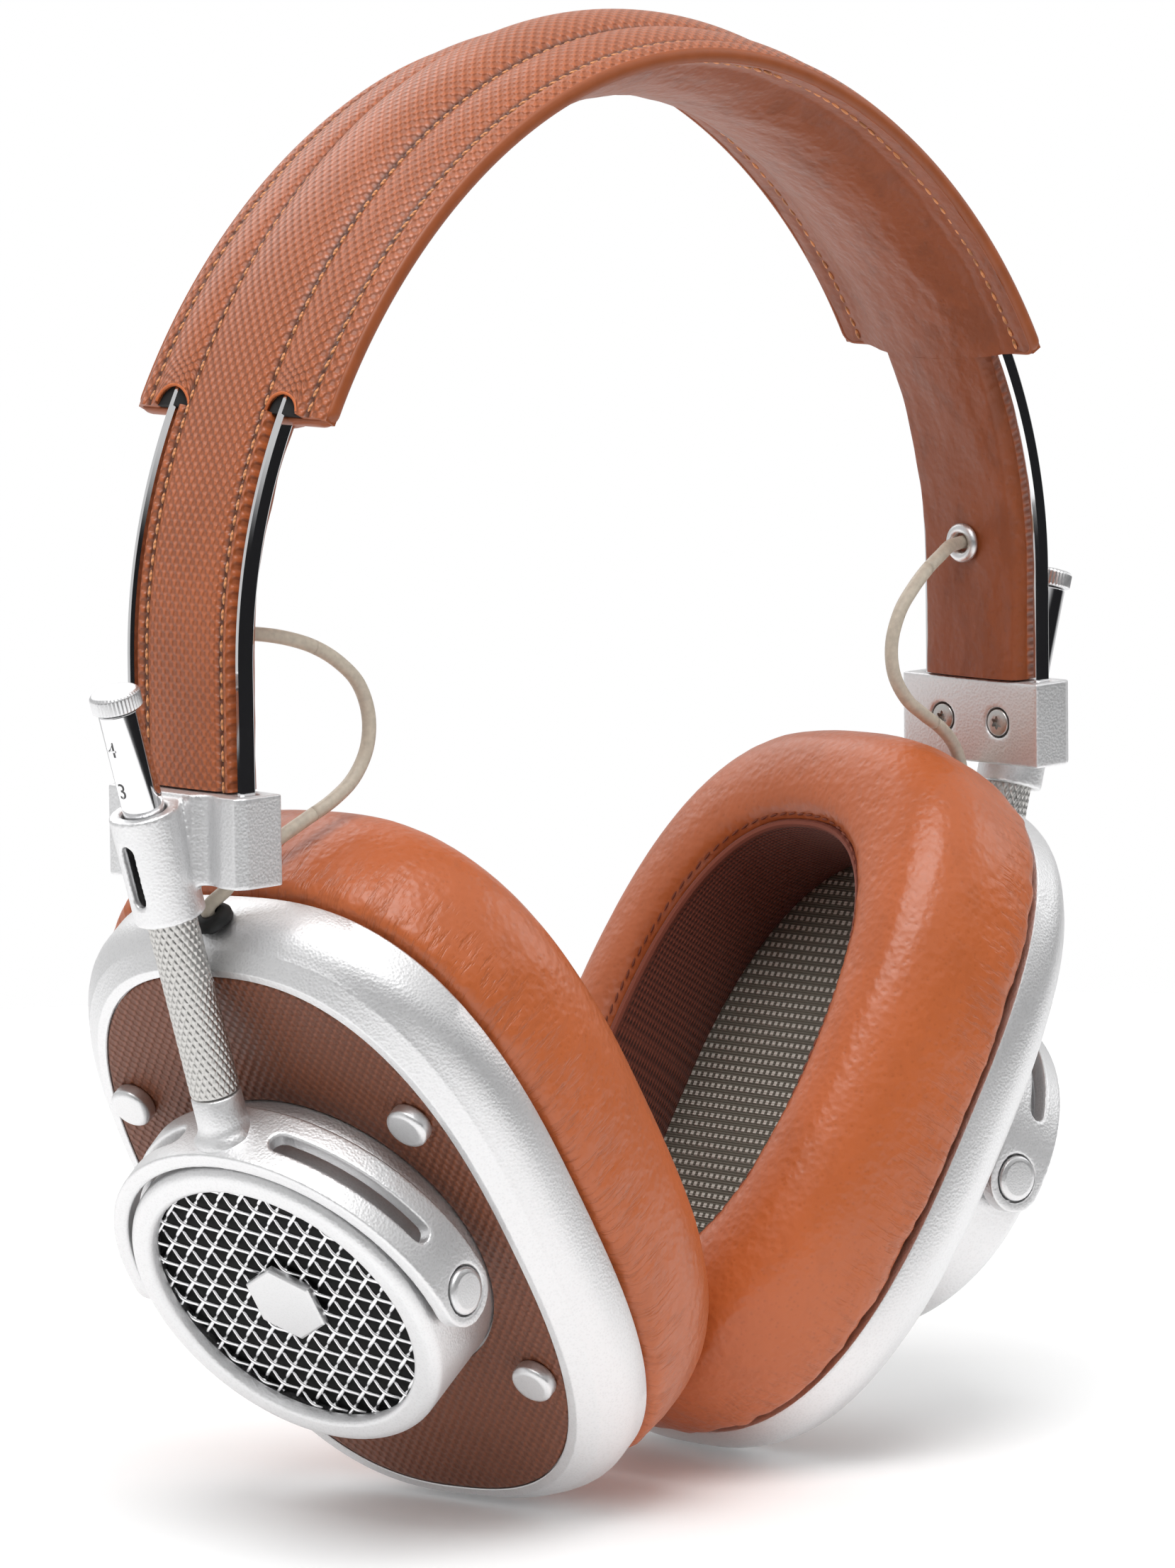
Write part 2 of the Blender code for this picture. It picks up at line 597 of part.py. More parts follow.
def cup_shell(side, cup):
    recess = -INLAY_THICKNESS
    wall = SHELL_WALL
    floor = recess - 1.6 * MM
    hole = HOUSING_BORE + 0.3 * MM
    loops = [circle_loop(hole, floor), circle_loop(hole, recess), cup_loop(INLAY_INSET, recess),
             cup_loop(INLAY_INSET, 0.0), cup_loop(4.1 * MM, 0.0), cup_loop(2.0 * MM, -2.0 * MM),
             cup_loop(0.4 * MM, -3.9 * MM), cup_loop(0.0, -5.4 * MM), cup_loop(0.0, -SHELL_DEPTH),
             cup_loop(wall, -SHELL_DEPTH), cup_loop(wall, -5.4 * MM), cup_loop(5.6 * MM, floor)]
    shell = link(f"{side}_cup_shell", loft_mesh("cup_shell", loops, ring=True), "satin_aluminium", cup)
    place = Matrix.Translation((-GROMMET_DEPTH_ON_CUP - PIN_HEIGHT, 0.0, CUP_HALF_HEIGHT))
    hole = cylinder_mesh("cable_hole", 1.7 * MM + FIT, -5 * MM, 3 * MM)
    boolean(shell, cutter(f"{side}_cable_hole", hole, cup, place))
    for end, y, z in rivet_places(side):
        hole = cylinder_mesh("rivet_hole", 1.5 * MM, -4 * MM, 2 * MM, 16)
        boolean(shell, cutter(f"{side}_rivet_hole_{end}", hole, cup, on_cup(0.0, z, y)))
    shade(shell)
    bore = CABLE_RADIUS + 0.35 * MM
    grommet = [(bore, 1.5 * MM), (1.9 * MM, 1.5 * MM), (GROMMET_RADIUS, 0.8 * MM), (GROMMET_RADIUS, FIT),
               (1.7 * MM, FIT), (1.7 * MM, -SHELL_WALL - 0.3 * MM), (bore, -SHELL_WALL - 0.3 * MM)]
    turned(f"{side}_cable_grommet", grommet, "black_rubber", cup, place)


def rivet_places(side):
    return [(f"{end_name(side, y)}_{'top' if z > 0 else 'bottom'}", y, z)
            for y in (-RIVET_FRONT, RIVET_FRONT) for z in (RIVET_UP, -RIVET_UP)]


def inlay(side, cup):
    """The leather plate; the curve's X is the cup's downward direction, so that its Z points outward."""
    gap = INLAY_INSET + FIT
    outline = [(-z, y) for _x, y, z in cup_loop(gap, 0.0)]
    holes = [ring_points(1.5 * MM, 16, -z, y) for _end, y, z in rivet_places(side)]
    thickness = INLAY_THICKNESS - FIT
    curve = flat_curve("inlay", [outline, ring_points(HOUSING_RADIUS + FIT, ROUND)] + holes, thickness)
    link(f"{side}_inlay", curve, "coated_canvas", cup, on_cup(-thickness / 2))
    rivet = [(0.0, RIVET_HEAD + FIT), (RIVET_RADIUS - 0.3 * MM, RIVET_HEAD + FIT),
             (RIVET_RADIUS, RIVET_HEAD), (RIVET_RADIUS, FIT), (1.2 * MM, FIT), (1.2 * MM, -2.6 * MM),
             (0.0, -2.6 * MM)]
    for end, y, z in rivet_places(side):
        turned(f"{side}_rivet_{end}", rivet, "satin_aluminium", cup, on_cup(0.0, z, y))


def housing(side, cup):
    """Round housing with a waist on its upper half, where the yoke lies around it."""
    base = FIT - INLAY_THICKNESS
    lip = MESH_HEIGHT + FIT
    radius, fillet = HOUSING_RADIUS, 1.5 * MM
    profile = [(radius - fillet * (1 - math.cos(a)), HOUSING_HEIGHT - fillet * (1 - math.sin(a)))
               for a in (math.radians(90), math.radians(60), math.radians(30), math.radians(0))]
    profile += [(radius, base), (HOUSING_BORE, base), (HOUSING_BORE, lip), (MESH_RADIUS, lip),
                (MESH_RADIUS, HOUSING_HEIGHT - 0.6 * MM), (MESH_RADIUS + 0.6 * MM, HOUSING_HEIGHT)]
    body = turned(f"{side}_round_housing", profile, "satin_aluminium", cup, on_cup(0.0), 36)
    waist = [(radius + 1.4 * MM, 12.0 * MM), (radius - 1.4 * MM, 9.2 * MM),
             (radius - 1.4 * MM, 4.2 * MM), (radius + 1.4 * MM, 1.4 * MM)]
    loops = []
    for i in range(21):
        angle = math.radians(-75 + 150 * i / 20)
        loops.append([(height - PIN_HEIGHT, r * math.sin(angle), r * math.cos(angle)) for r, height in waist])
    boolean(body, cutter(f"{side}_waist", loft_mesh("waist", loops), cup))
    hole = cylinder_mesh("pivot_holes", 1.6 * MM + FIT, -radius - 3 * MM, radius + 3 * MM)
    boolean(body, cutter(f"{side}_pivot_holes", hole, cup, ALONG_Y))
    shade(body)
    grille = [(0.0, MESH_HEIGHT), (HOUSING_BORE - FIT, MESH_HEIGHT),
              (HOUSING_BORE - FIT, MESH_HEIGHT - MESH_THICKNESS), (0.0, MESH_HEIGHT - MESH_THICKNESS)]
    turned(f"{side}_mesh_grille", grille, "woven_wire", cup, on_cup(0.0), 36)
    hexagon = flat_curve("badge", [ring_points(BADGE_RADIUS, 6)], BADGE_THICKNESS)
    link(f"{side}_hex_badge", hexagon, "satin_aluminium", cup,
         on_cup(MESH_HEIGHT + FIT + BADGE_THICKNESS / 2))


def driver(side, cup):
    """Baffle, driver with its magnet, film and terminal board inside the shell."""
    back = -SHELL_DEPTH + FIT
    front = back + BAFFLE_THICKNESS
    outline = [(-z, y) for _x, y, z in cup_loop(SHELL_WALL + FIT, 0.0)]
    curve = flat_curve("baffle", [outline, ring_points(DRIVER_RADIUS - 2.5 * MM, ROUND)], BAFFLE_THICKNESS)
    link(f"{side}_baffle", curve, "black_polymer", cup, on_cup((front + back) / 2))
    flange = front + FIT
    profile = [(0.0, 1.5 * MM), (13 * MM, 1.5 * MM), (13 * MM, flange + 4.2 * MM),
               (18 * MM, flange + 2.6 * MM), (20 * MM, flange + 1.2 * MM), (DRIVER_RADIUS, flange + 1.2 * MM),
               (DRIVER_RADIUS, flange), (DRIVER_RADIUS - 2.8 * MM, flange),
               (DRIVER_RADIUS - 3.4 * MM, flange + 1 * MM), (0.0, flange + 1 * MM)]
    turned(f"{side}_driver", profile, "magnet_steel", cup, on_cup(0.0), ROUND)
    edge = DRIVER_RADIUS - 2.9 * MM
    film = [(0.0, flange + 0.5 * MM), (8 * MM, flange + 0.2 * MM), (edge, flange - 0.5 * MM),
            (edge, flange - 0.9 * MM), (8 * MM, flange - 0.3 * MM), (0.0, flange)]
    turned(f"{side}_diaphragm", film, "driver_film", cup, on_cup(0.0), ROUND)
    place = Matrix.Translation((front + FIT - PIN_HEIGHT, 0.0, 31 * MM))
    board = box_mesh("board", (0.0, -9 * MM, -6 * MM), (1.6 * MM, 9 * MM, 6 * MM))
    link(f"{side}_terminal_board", board, "board_green", cup, place)


def pad(side, cup, frame):
    """Leather ear pad around its opening, flattened where the two pads meet, and the driver's cloth."""
    back = -SHELL_DEPTH - FIT
    seat = back - CLOTH_THICKNESS - FIT
    front = back - PAD_THICKNESS
    base_width = CLOTH_HALF_WIDTH + FIT
    base_height = CLOTH_HALF_HEIGHT + FIT
    loops = [oval_loop(base_width, base_height, back), cup_loop(1.0 * MM, back),
             cup_loop(0.0, back - 2 * MM), cup_loop(-PAD_BULGE, back - 8 * MM),
             cup_loop(-PAD_BULGE, back - 15 * MM), cup_loop(0.6 * MM, front + 4 * MM),
             cup_loop(3.0 * MM, front + 1.3 * MM), cup_loop(6.5 * MM, front),
             oval_loop(OPENING_HALF_WIDTH + 2 * MM, OPENING_HALF_HEIGHT + 2 * MM, front),
             oval_loop(OPENING_HALF_WIDTH, OPENING_HALF_HEIGHT, front + 2 * MM),
             oval_loop(OPENING_HALF_WIDTH + 1.5 * MM, OPENING_HALF_HEIGHT + 1.5 * MM, front + 9 * MM)]
    cushion = link(f"{side}_ear_pad", loft_mesh("ear_pad", loops, ring=True), "lambskin", cup)
    reach = 60 * MM
    other_half = box_mesh("other_half", (-reach, -reach, -10 * MM), (PAD_GAP / 2, reach, reach))
    boolean(cushion, cutter(f"{side}_pad_meets_pad", other_half, frame))
    cushion.data.shade_smooth()
    outline = [(-z, y) for _x, y, z in oval_loop(CLOTH_HALF_WIDTH, CLOTH_HALF_HEIGHT, 0.0)]
    curve = flat_curve("driver_cloth", [outline], CLOTH_THICKNESS)
    link(f"{side}_driver_cloth", curve, "acoustic_cloth", cup, on_cup((back + seat + FIT) / 2))


CABLE_ROUTE = [                       # millimetres: inward from the leg is smaller x, forward is smaller y
    (75.9, 0.0, 126.7), (73.0, -0.3, 126.8), (69.8, -1.9, 126.7), (65.8, -3.8, 125.9), (61.7, -5.0, 124.4),
    (57.8, -5.7, 122.0), (54.5, -6.0, 118.8), (52.7, -6.0, 114.4), (53.1, -6.0, 109.9), (55.7, -6.0, 106.0),
    (59.6, -5.8, 103.3), (64.0, -4.9, 101.0), (68.2, -3.4, 98.4), (71.8, -1.6, 95.4), (74.3, -0.1, 92.2),
]


def smooth_route(points, steps):
    """A Catmull-Rom curve through the points, with its ends continued straight."""
    first = points[0] * 2 - points[1]
    last = points[-1] * 2 - points[-2]
    knots = [first] + points + [last]
    result = []
    for a, b, c, d in zip(knots, knots[1:], knots[2:], knots[3:]):
        for i in range(steps):
            t = i / steps
            result.append(0.5 * (2 * b + (c - a) * t + (2 * a - 5 * b + 4 * c - d) * t ** 2
                                 + (3 * b - a - 3 * c + d) * t ** 3))
    return result + [points[-1]]


def cable(side, sign, cup):
    """Free cable from the eyelet to the grommet on top of the cup."""
    bpy.context.view_layer.update()
    top = Vector((-GROMMET_DEPTH_ON_CUP - PIN_HEIGHT, 0.0, CUP_HALF_HEIGHT))
    inside = cup.matrix_world @ (top + Vector((0.0, 0.0, -2 * MM)))
    mouth = cup.matrix_world @ (top + Vector((0.0, 0.0, 2 * MM)))
    route = [Vector((sign * x, y, z)) * MM for x, y, z in CABLE_ROUTE] + [mouth, inside]
    curve = bpy.data.curves.new("cable", "CURVE")
    curve.dimensions = "3D"
    curve.bevel_depth = CABLE_RADIUS
    curve.bevel_resolution = 2
    curve.use_fill_caps = True
    spline = curve.splines.new("POLY")
    points = smooth_route(route, 2)
    spline.points.add(len(points) - 1)
    for point, place in zip(spline.points, points):
        point.co = (*place, 1.0)
    link(f"{side}_cable", curve, "cream_cable")


# ---------------------------------------------------------------- assembly

def empty(name, parent, place):
    return link(name, None, parent=parent, place=place)


def build_side(side, sign, lining):
    """Left is +X; the right side is the left one turned half round, with its swivel the other way."""
    frame = empty(f"{side}_side", None, Matrix.Rotation(0.0 if sign > 0 else math.pi, 4, "Z"))
    arm = empty(f"{side}_arm_axis", frame,
                Matrix.Translation((ROD_X, 0.0, ROD_HEIGHT)) @ Matrix.Rotation(ROD_LEAN, 4, "Y"))
    slide = empty(f"{side}_slide_axis", arm, Matrix.Identity(4))
    swivel = empty(f"{side}_swivel_axis", slide, Matrix.Rotation(-sign * SWIVEL, 4, "Z"))
    cup = empty(f"{side}_tilt_axis", swivel,
                Matrix.Translation((-PIN_INSET, 0.0, -PIN_DROP)) @ Matrix.Rotation(CUP_TILT, 4, "Y"))
    eyelet(side, frame, lining)
    clamp(side, frame, arm)
    rod(side, slide)
    yoke(side, swivel)
    cup_shell(side, cup)
    inlay(side, cup)
    housing(side, cup)
    driver(side, cup)
    pad(side, cup, frame)
    cable(side, sign, cup)


clear_scene()
PARTS = make_collection("over_ear_headphones")
CUTTERS = make_collection("cutters")
def stand_on_floor():
    """Move everything so that the whole box stands on the floor, centred on the origin."""
    bpy.context.view_layer.update()
    graph = bpy.context.evaluated_depsgraph_get()
    points = []
    for obj in PARTS.objects:
        if obj.type == "EMPTY":
            continue
        shape = obj.evaluated_get(graph)
        mesh = shape.to_mesh()
        points += [obj.matrix_world @ vertex.co for vertex in mesh.vertices]
        shape.to_mesh_clear()
    low = [min(point[i] for point in points) for i in range(3)]
    high = [max(point[i] for point in points) for i in range(3)]
    shift = Vector((-(low[0] + high[0]) / 2, -(low[1] + high[1]) / 2, -low[2]))
    for obj in list(PARTS.objects) + list(CUTTERS.objects):
        if obj.parent is None:
            obj.matrix_world = Matrix.Translation(shift) @ obj.matrix_world
    bpy.context.view_layer.update()


lining_object = headband()
for side_name, side_sign in (("left", 1), ("right", -1)):
    build_side(side_name, side_sign, lining_object)
stand_on_floor()
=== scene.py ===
"""Over-ear headphones in leather and satin metal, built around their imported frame.

Lengths are metres.  The left side is +X; each right-hand piece is the left one turned half round.
"""

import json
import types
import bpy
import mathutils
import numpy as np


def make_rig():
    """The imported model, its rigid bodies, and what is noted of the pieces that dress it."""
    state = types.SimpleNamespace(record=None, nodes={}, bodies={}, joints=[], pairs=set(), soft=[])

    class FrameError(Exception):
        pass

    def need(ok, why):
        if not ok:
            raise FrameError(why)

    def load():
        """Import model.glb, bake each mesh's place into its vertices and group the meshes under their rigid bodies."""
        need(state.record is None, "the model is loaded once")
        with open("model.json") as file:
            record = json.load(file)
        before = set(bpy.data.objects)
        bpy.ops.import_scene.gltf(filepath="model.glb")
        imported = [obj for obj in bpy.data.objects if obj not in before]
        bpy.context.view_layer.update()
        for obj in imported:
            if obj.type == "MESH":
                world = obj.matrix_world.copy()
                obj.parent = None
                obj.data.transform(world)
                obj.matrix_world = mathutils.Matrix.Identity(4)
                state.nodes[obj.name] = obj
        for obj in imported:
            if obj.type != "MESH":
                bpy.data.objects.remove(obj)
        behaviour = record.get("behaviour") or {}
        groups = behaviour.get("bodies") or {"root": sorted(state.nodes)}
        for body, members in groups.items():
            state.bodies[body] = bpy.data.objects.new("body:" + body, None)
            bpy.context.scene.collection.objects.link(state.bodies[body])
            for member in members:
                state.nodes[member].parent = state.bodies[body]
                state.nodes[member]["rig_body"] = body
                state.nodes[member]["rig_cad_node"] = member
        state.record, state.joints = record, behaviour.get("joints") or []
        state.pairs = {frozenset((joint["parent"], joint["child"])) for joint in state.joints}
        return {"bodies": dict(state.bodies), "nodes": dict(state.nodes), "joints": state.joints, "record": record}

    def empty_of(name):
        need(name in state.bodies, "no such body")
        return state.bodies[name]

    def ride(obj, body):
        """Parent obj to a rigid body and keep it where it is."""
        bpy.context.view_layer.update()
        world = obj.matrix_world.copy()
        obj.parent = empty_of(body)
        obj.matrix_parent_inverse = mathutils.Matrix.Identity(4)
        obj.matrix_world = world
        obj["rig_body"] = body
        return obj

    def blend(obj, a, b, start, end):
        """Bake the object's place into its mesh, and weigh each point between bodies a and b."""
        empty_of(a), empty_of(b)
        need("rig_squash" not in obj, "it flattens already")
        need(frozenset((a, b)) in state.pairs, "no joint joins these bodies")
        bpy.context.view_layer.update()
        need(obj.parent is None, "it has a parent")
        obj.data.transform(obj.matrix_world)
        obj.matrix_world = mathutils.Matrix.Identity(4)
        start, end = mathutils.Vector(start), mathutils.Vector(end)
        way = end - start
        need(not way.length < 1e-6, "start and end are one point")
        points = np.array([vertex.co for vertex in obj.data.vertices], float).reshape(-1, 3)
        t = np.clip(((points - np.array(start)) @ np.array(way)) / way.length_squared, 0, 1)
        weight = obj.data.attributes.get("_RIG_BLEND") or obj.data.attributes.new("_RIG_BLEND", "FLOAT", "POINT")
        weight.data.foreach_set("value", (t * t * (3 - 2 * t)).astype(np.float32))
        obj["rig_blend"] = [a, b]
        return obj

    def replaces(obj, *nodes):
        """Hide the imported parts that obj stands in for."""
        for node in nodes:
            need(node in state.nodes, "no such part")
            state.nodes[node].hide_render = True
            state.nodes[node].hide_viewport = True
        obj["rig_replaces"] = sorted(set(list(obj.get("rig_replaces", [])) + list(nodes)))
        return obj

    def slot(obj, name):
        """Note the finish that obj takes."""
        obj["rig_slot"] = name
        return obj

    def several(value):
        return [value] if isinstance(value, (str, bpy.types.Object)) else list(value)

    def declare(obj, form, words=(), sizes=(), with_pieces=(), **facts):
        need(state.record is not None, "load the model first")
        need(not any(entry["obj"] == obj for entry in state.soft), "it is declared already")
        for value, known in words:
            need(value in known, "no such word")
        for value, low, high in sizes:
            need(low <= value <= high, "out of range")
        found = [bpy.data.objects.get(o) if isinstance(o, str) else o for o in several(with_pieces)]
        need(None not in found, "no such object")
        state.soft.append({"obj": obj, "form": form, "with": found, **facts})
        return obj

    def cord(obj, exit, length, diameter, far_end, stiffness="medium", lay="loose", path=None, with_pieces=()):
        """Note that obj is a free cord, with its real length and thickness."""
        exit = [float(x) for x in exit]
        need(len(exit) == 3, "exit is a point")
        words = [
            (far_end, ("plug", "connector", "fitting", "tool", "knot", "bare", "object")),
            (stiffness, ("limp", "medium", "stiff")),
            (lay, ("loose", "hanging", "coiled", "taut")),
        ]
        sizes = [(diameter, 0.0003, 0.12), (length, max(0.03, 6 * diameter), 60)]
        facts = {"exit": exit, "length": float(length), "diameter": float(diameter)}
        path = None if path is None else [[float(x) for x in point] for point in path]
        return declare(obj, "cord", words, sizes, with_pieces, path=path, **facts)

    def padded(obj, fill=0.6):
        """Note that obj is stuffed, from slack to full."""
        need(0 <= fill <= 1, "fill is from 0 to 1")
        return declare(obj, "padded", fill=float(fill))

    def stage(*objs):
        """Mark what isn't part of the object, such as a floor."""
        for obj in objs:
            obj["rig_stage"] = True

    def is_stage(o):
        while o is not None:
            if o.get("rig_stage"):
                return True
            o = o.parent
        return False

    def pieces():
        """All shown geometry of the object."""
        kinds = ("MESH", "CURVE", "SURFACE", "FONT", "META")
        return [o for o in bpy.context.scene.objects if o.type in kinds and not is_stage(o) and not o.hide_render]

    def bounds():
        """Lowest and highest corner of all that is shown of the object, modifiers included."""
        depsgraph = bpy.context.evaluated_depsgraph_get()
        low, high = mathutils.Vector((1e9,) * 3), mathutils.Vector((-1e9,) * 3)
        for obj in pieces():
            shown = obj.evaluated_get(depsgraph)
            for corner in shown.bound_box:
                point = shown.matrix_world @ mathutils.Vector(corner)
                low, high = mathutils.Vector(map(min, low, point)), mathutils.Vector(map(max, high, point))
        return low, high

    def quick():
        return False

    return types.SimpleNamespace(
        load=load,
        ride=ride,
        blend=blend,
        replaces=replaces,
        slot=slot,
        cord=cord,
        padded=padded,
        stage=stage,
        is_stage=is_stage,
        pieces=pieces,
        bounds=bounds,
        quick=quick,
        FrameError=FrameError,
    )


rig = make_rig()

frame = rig.load()

import json
import math

import bmesh
import bpy
from bpy.props import FloatProperty, FloatVectorProperty, IntProperty, PointerProperty
from bpy.types import Operator, Panel, PropertyGroup
from mathutils import Matrix, Vector, noise

bl_info = {
    "name": "Over-ear headphones",
    "version": (1, 0, 0),
    "blender": (4, 5, 0),
    "location": "3D Viewport > Sidebar > Headphones",
    "description": "Leather band, sliding rods, yokes, cups, pads and cables",
    "category": "Object",
}

MM = 0.001
CAD_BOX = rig.bounds()
ORIGIN = Vector((0.0, -4.435 * MM, 0.426 * MM))     # the band's middle plane and the fitted floor
SIDES = (("left", 1), ("right", -1))

ARCH_RADIUS = 80.0 * MM
ARCH_DIP = 1.4 * MM
SPRING_HEIGHT = 122.7 * MM
FLAP_HEIGHT = 156.5 * MM
BAND_HALF_WIDTH = 18.3 * MM
STRAP_HALF_WIDTH = 9.3 * MM
LEATHER_BOTTOM = 106.9 * MM
RAIL_Y = 10.6 * MM
INNER_SEAM = 7.3 * MM
OUTER_SEAM = 15.4 * MM
EYELET_HEIGHT = 126.7 * MM
ROD_X = 84.42 * MM
ROD_HEIGHT = 89.85 * MM
ROD_LEAN = math.radians(16.94)
ROD_RADIUS = 2.85 * MM
SLEEVE_RADIUS = 3.4 * MM
SLEEVE_TOP = 1.0 * MM
SLEEVE_BOTTOM = -26.0 * MM
CAP_BOTTOM = 30.0 * MM
SWIVEL = math.radians(7.2)
PIN_DROP = 58.05 * MM
PIN_INSET = 8.6 * MM
YOKE_INNER = 25.5 * MM
YOKE_OUTER = 27.9 * MM
YOKE_HALF_WIDTH = 5.0 * MM
CUP_TILT = math.radians(15.5)
PIN_HEIGHT = 8.2 * MM
CUP_HALF_WIDTH = 36.0 * MM
CUP_HALF_HEIGHT = 52.0 * MM
INLAY_INSET = 5.3 * MM
HOUSING_RADIUS = 24.6 * MM
HOUSING_HEIGHT = 15.1 * MM
MESH_RADIUS = 20.8 * MM
MESH_HEIGHT = 12.9 * MM
RIVETS = ((-24.4 * MM, 23.1 * MM), (-24.4 * MM, -23.1 * MM), (24.4 * MM, 23.1 * MM), (24.4 * MM, -23.1 * MM))
GROMMET_BACK = 13.7 * MM             # from the pin axis to the cable's entry
CABLE_DIAMETER = 1.95 * MM

ALONG_X = Matrix.Rotation(math.pi / 2, 4, "Y")
ALONG_Y = Matrix.Rotation(-math.pi / 2, 4, "X")


# ------------------------------------------------------------ frames of the moving pieces

def side_frame(sign):
    return Matrix.Translation(ORIGIN) @ Matrix.Rotation(0.0 if sign > 0 else math.pi, 4, "Z")


def rod_frame(sign):
    return (side_frame(sign) @ Matrix.Translation((ROD_X, 0.0, ROD_HEIGHT))
            @ Matrix.Rotation(ROD_LEAN, 4, "Y"))


def yoke_frame(sign):
    return rod_frame(sign) @ Matrix.Rotation(-sign * SWIVEL, 4, "Z")


def cup_frame(sign):
    return (yoke_frame(sign) @ Matrix.Translation((-PIN_INSET, 0.0, -PIN_DROP))
            @ Matrix.Rotation(CUP_TILT, 4, "Y"))


def on_cup(height, up=0.0, across=0.0):
    """Place for a turned piece whose Z points outward from the cup, over the leather plate."""
    return Matrix.Translation((height - PIN_HEIGHT, across, up)) @ ALONG_X


def end_name(side, y):
    return "front" if (y < 0) == (side == "left") else "back"


# ------------------------------------------------------------ settings

class BandSettings(PropertyGroup):
    crown: FloatProperty(name="Crown", description="Height of the padded middle at the top",
                         default=5.0 * MM, unit="LENGTH", min=0.0)
    padding: FloatProperty(name="Padding", description="Depth of the padding under the rails at the top",
                           default=7.0 * MM, unit="LENGTH", min=0.0)
    stitch_pitch: FloatProperty(name="Stitch pitch", description="Distance from one stitch to the next",
                                default=2.1 * MM, unit="LENGTH", min=0.5 * MM)
    thread: FloatProperty(name="Thread", description="Thickness of the sewing thread",
                          default=0.54 * MM, unit="LENGTH", min=0.1 * MM)


class CupSettings(PropertyGroup):
    pad_thickness: FloatProperty(name="Pad thickness", description="From the baffle to the pad's front",
                                 default=23.0 * MM, unit="LENGTH", min=0.0)
    pad_fill: FloatProperty(name="Pad fill", description="Pressure of the filling in the cloth simulation",
                            default=3.2, min=0.0)
    wire: FloatProperty(name="Grille wire", description="Thickness of one wire of the grille",
                        default=0.62 * MM, unit="LENGTH", min=0.1 * MM)
    weave: FloatProperty(name="Grille weave", description="Distance between the crossing wires",
                         default=2.55 * MM, unit="LENGTH", min=0.5 * MM)
    knurls: IntProperty(name="Knurls", description="Diamonds around the knurled sleeve", default=22, min=6)


class FinishSettings(PropertyGroup):
    canvas: FloatVectorProperty(name="Canvas", description="Coated canvas of the band and cup plates",
                                subtype="COLOR", size=3, default=(0.41, 0.102, 0.027))
    lambskin: FloatVectorProperty(name="Lambskin", description="Smooth leather of the pads and lining",
                                  subtype="COLOR", size=3, default=(0.50, 0.120, 0.032))
    thread: FloatVectorProperty(name="Thread", description="Sewing thread", subtype="COLOR", size=3,
                                default=(0.74, 0.30, 0.11))
    metal: FloatVectorProperty(name="Satin metal", description="Blasted aluminium", subtype="COLOR", size=3,
                               default=(0.82, 0.82, 0.825))


def settings():
    scene = bpy.context.scene
    return scene.headphone_band, scene.headphone_cup, scene.headphone_finish


# ------------------------------------------------------------ shader arithmetic

class Value:
    """A shader socket that can be written as arithmetic."""

    def __init__(self, surface, socket):
        self.surface = surface
        self.socket = socket

    def join(self, operation, *others, clamp=False):
        made = self.surface.node("ShaderNodeMath", {"operation": operation, "use_clamp": clamp},
                                 **{str(i): item for i, item in enumerate((self, *others))})
        return made["Value"]

    def __add__(self, other):
        return self.join("ADD", other)

    def __sub__(self, other):
        return self.join("SUBTRACT", other)

    def __rsub__(self, other):
        return (self * -1.0).join("ADD", other)

    def __mul__(self, other):
        return self.join("MULTIPLY", other)

    def __truediv__(self, other):
        return self.join("DIVIDE", other)

    def __pow__(self, other):
        return self.join("POWER", other)

    __radd__ = __add__
    __rmul__ = __mul__

    def sin(self):
        return self.join("SINE")

    def absolute(self):
        return self.join("ABSOLUTE")

    def step(self, low, high):
        """0 below low, 1 above high, smooth between."""
        made = self.surface.node("ShaderNodeMapRange", {"interpolation_type": "SMOOTHSTEP"},
                                 Value=self, **{"From Min": low, "From Max": high})
        return made["Result"]


class Made:
    """A node whose outputs are read by name."""

    def __init__(self, surface, node):
        self.surface = surface
        self.node = node

    def __getitem__(self, name):
        for socket in self.node.outputs:
            if socket.name == name and socket.enabled:
                return Value(self.surface, socket)
        raise KeyError(name)


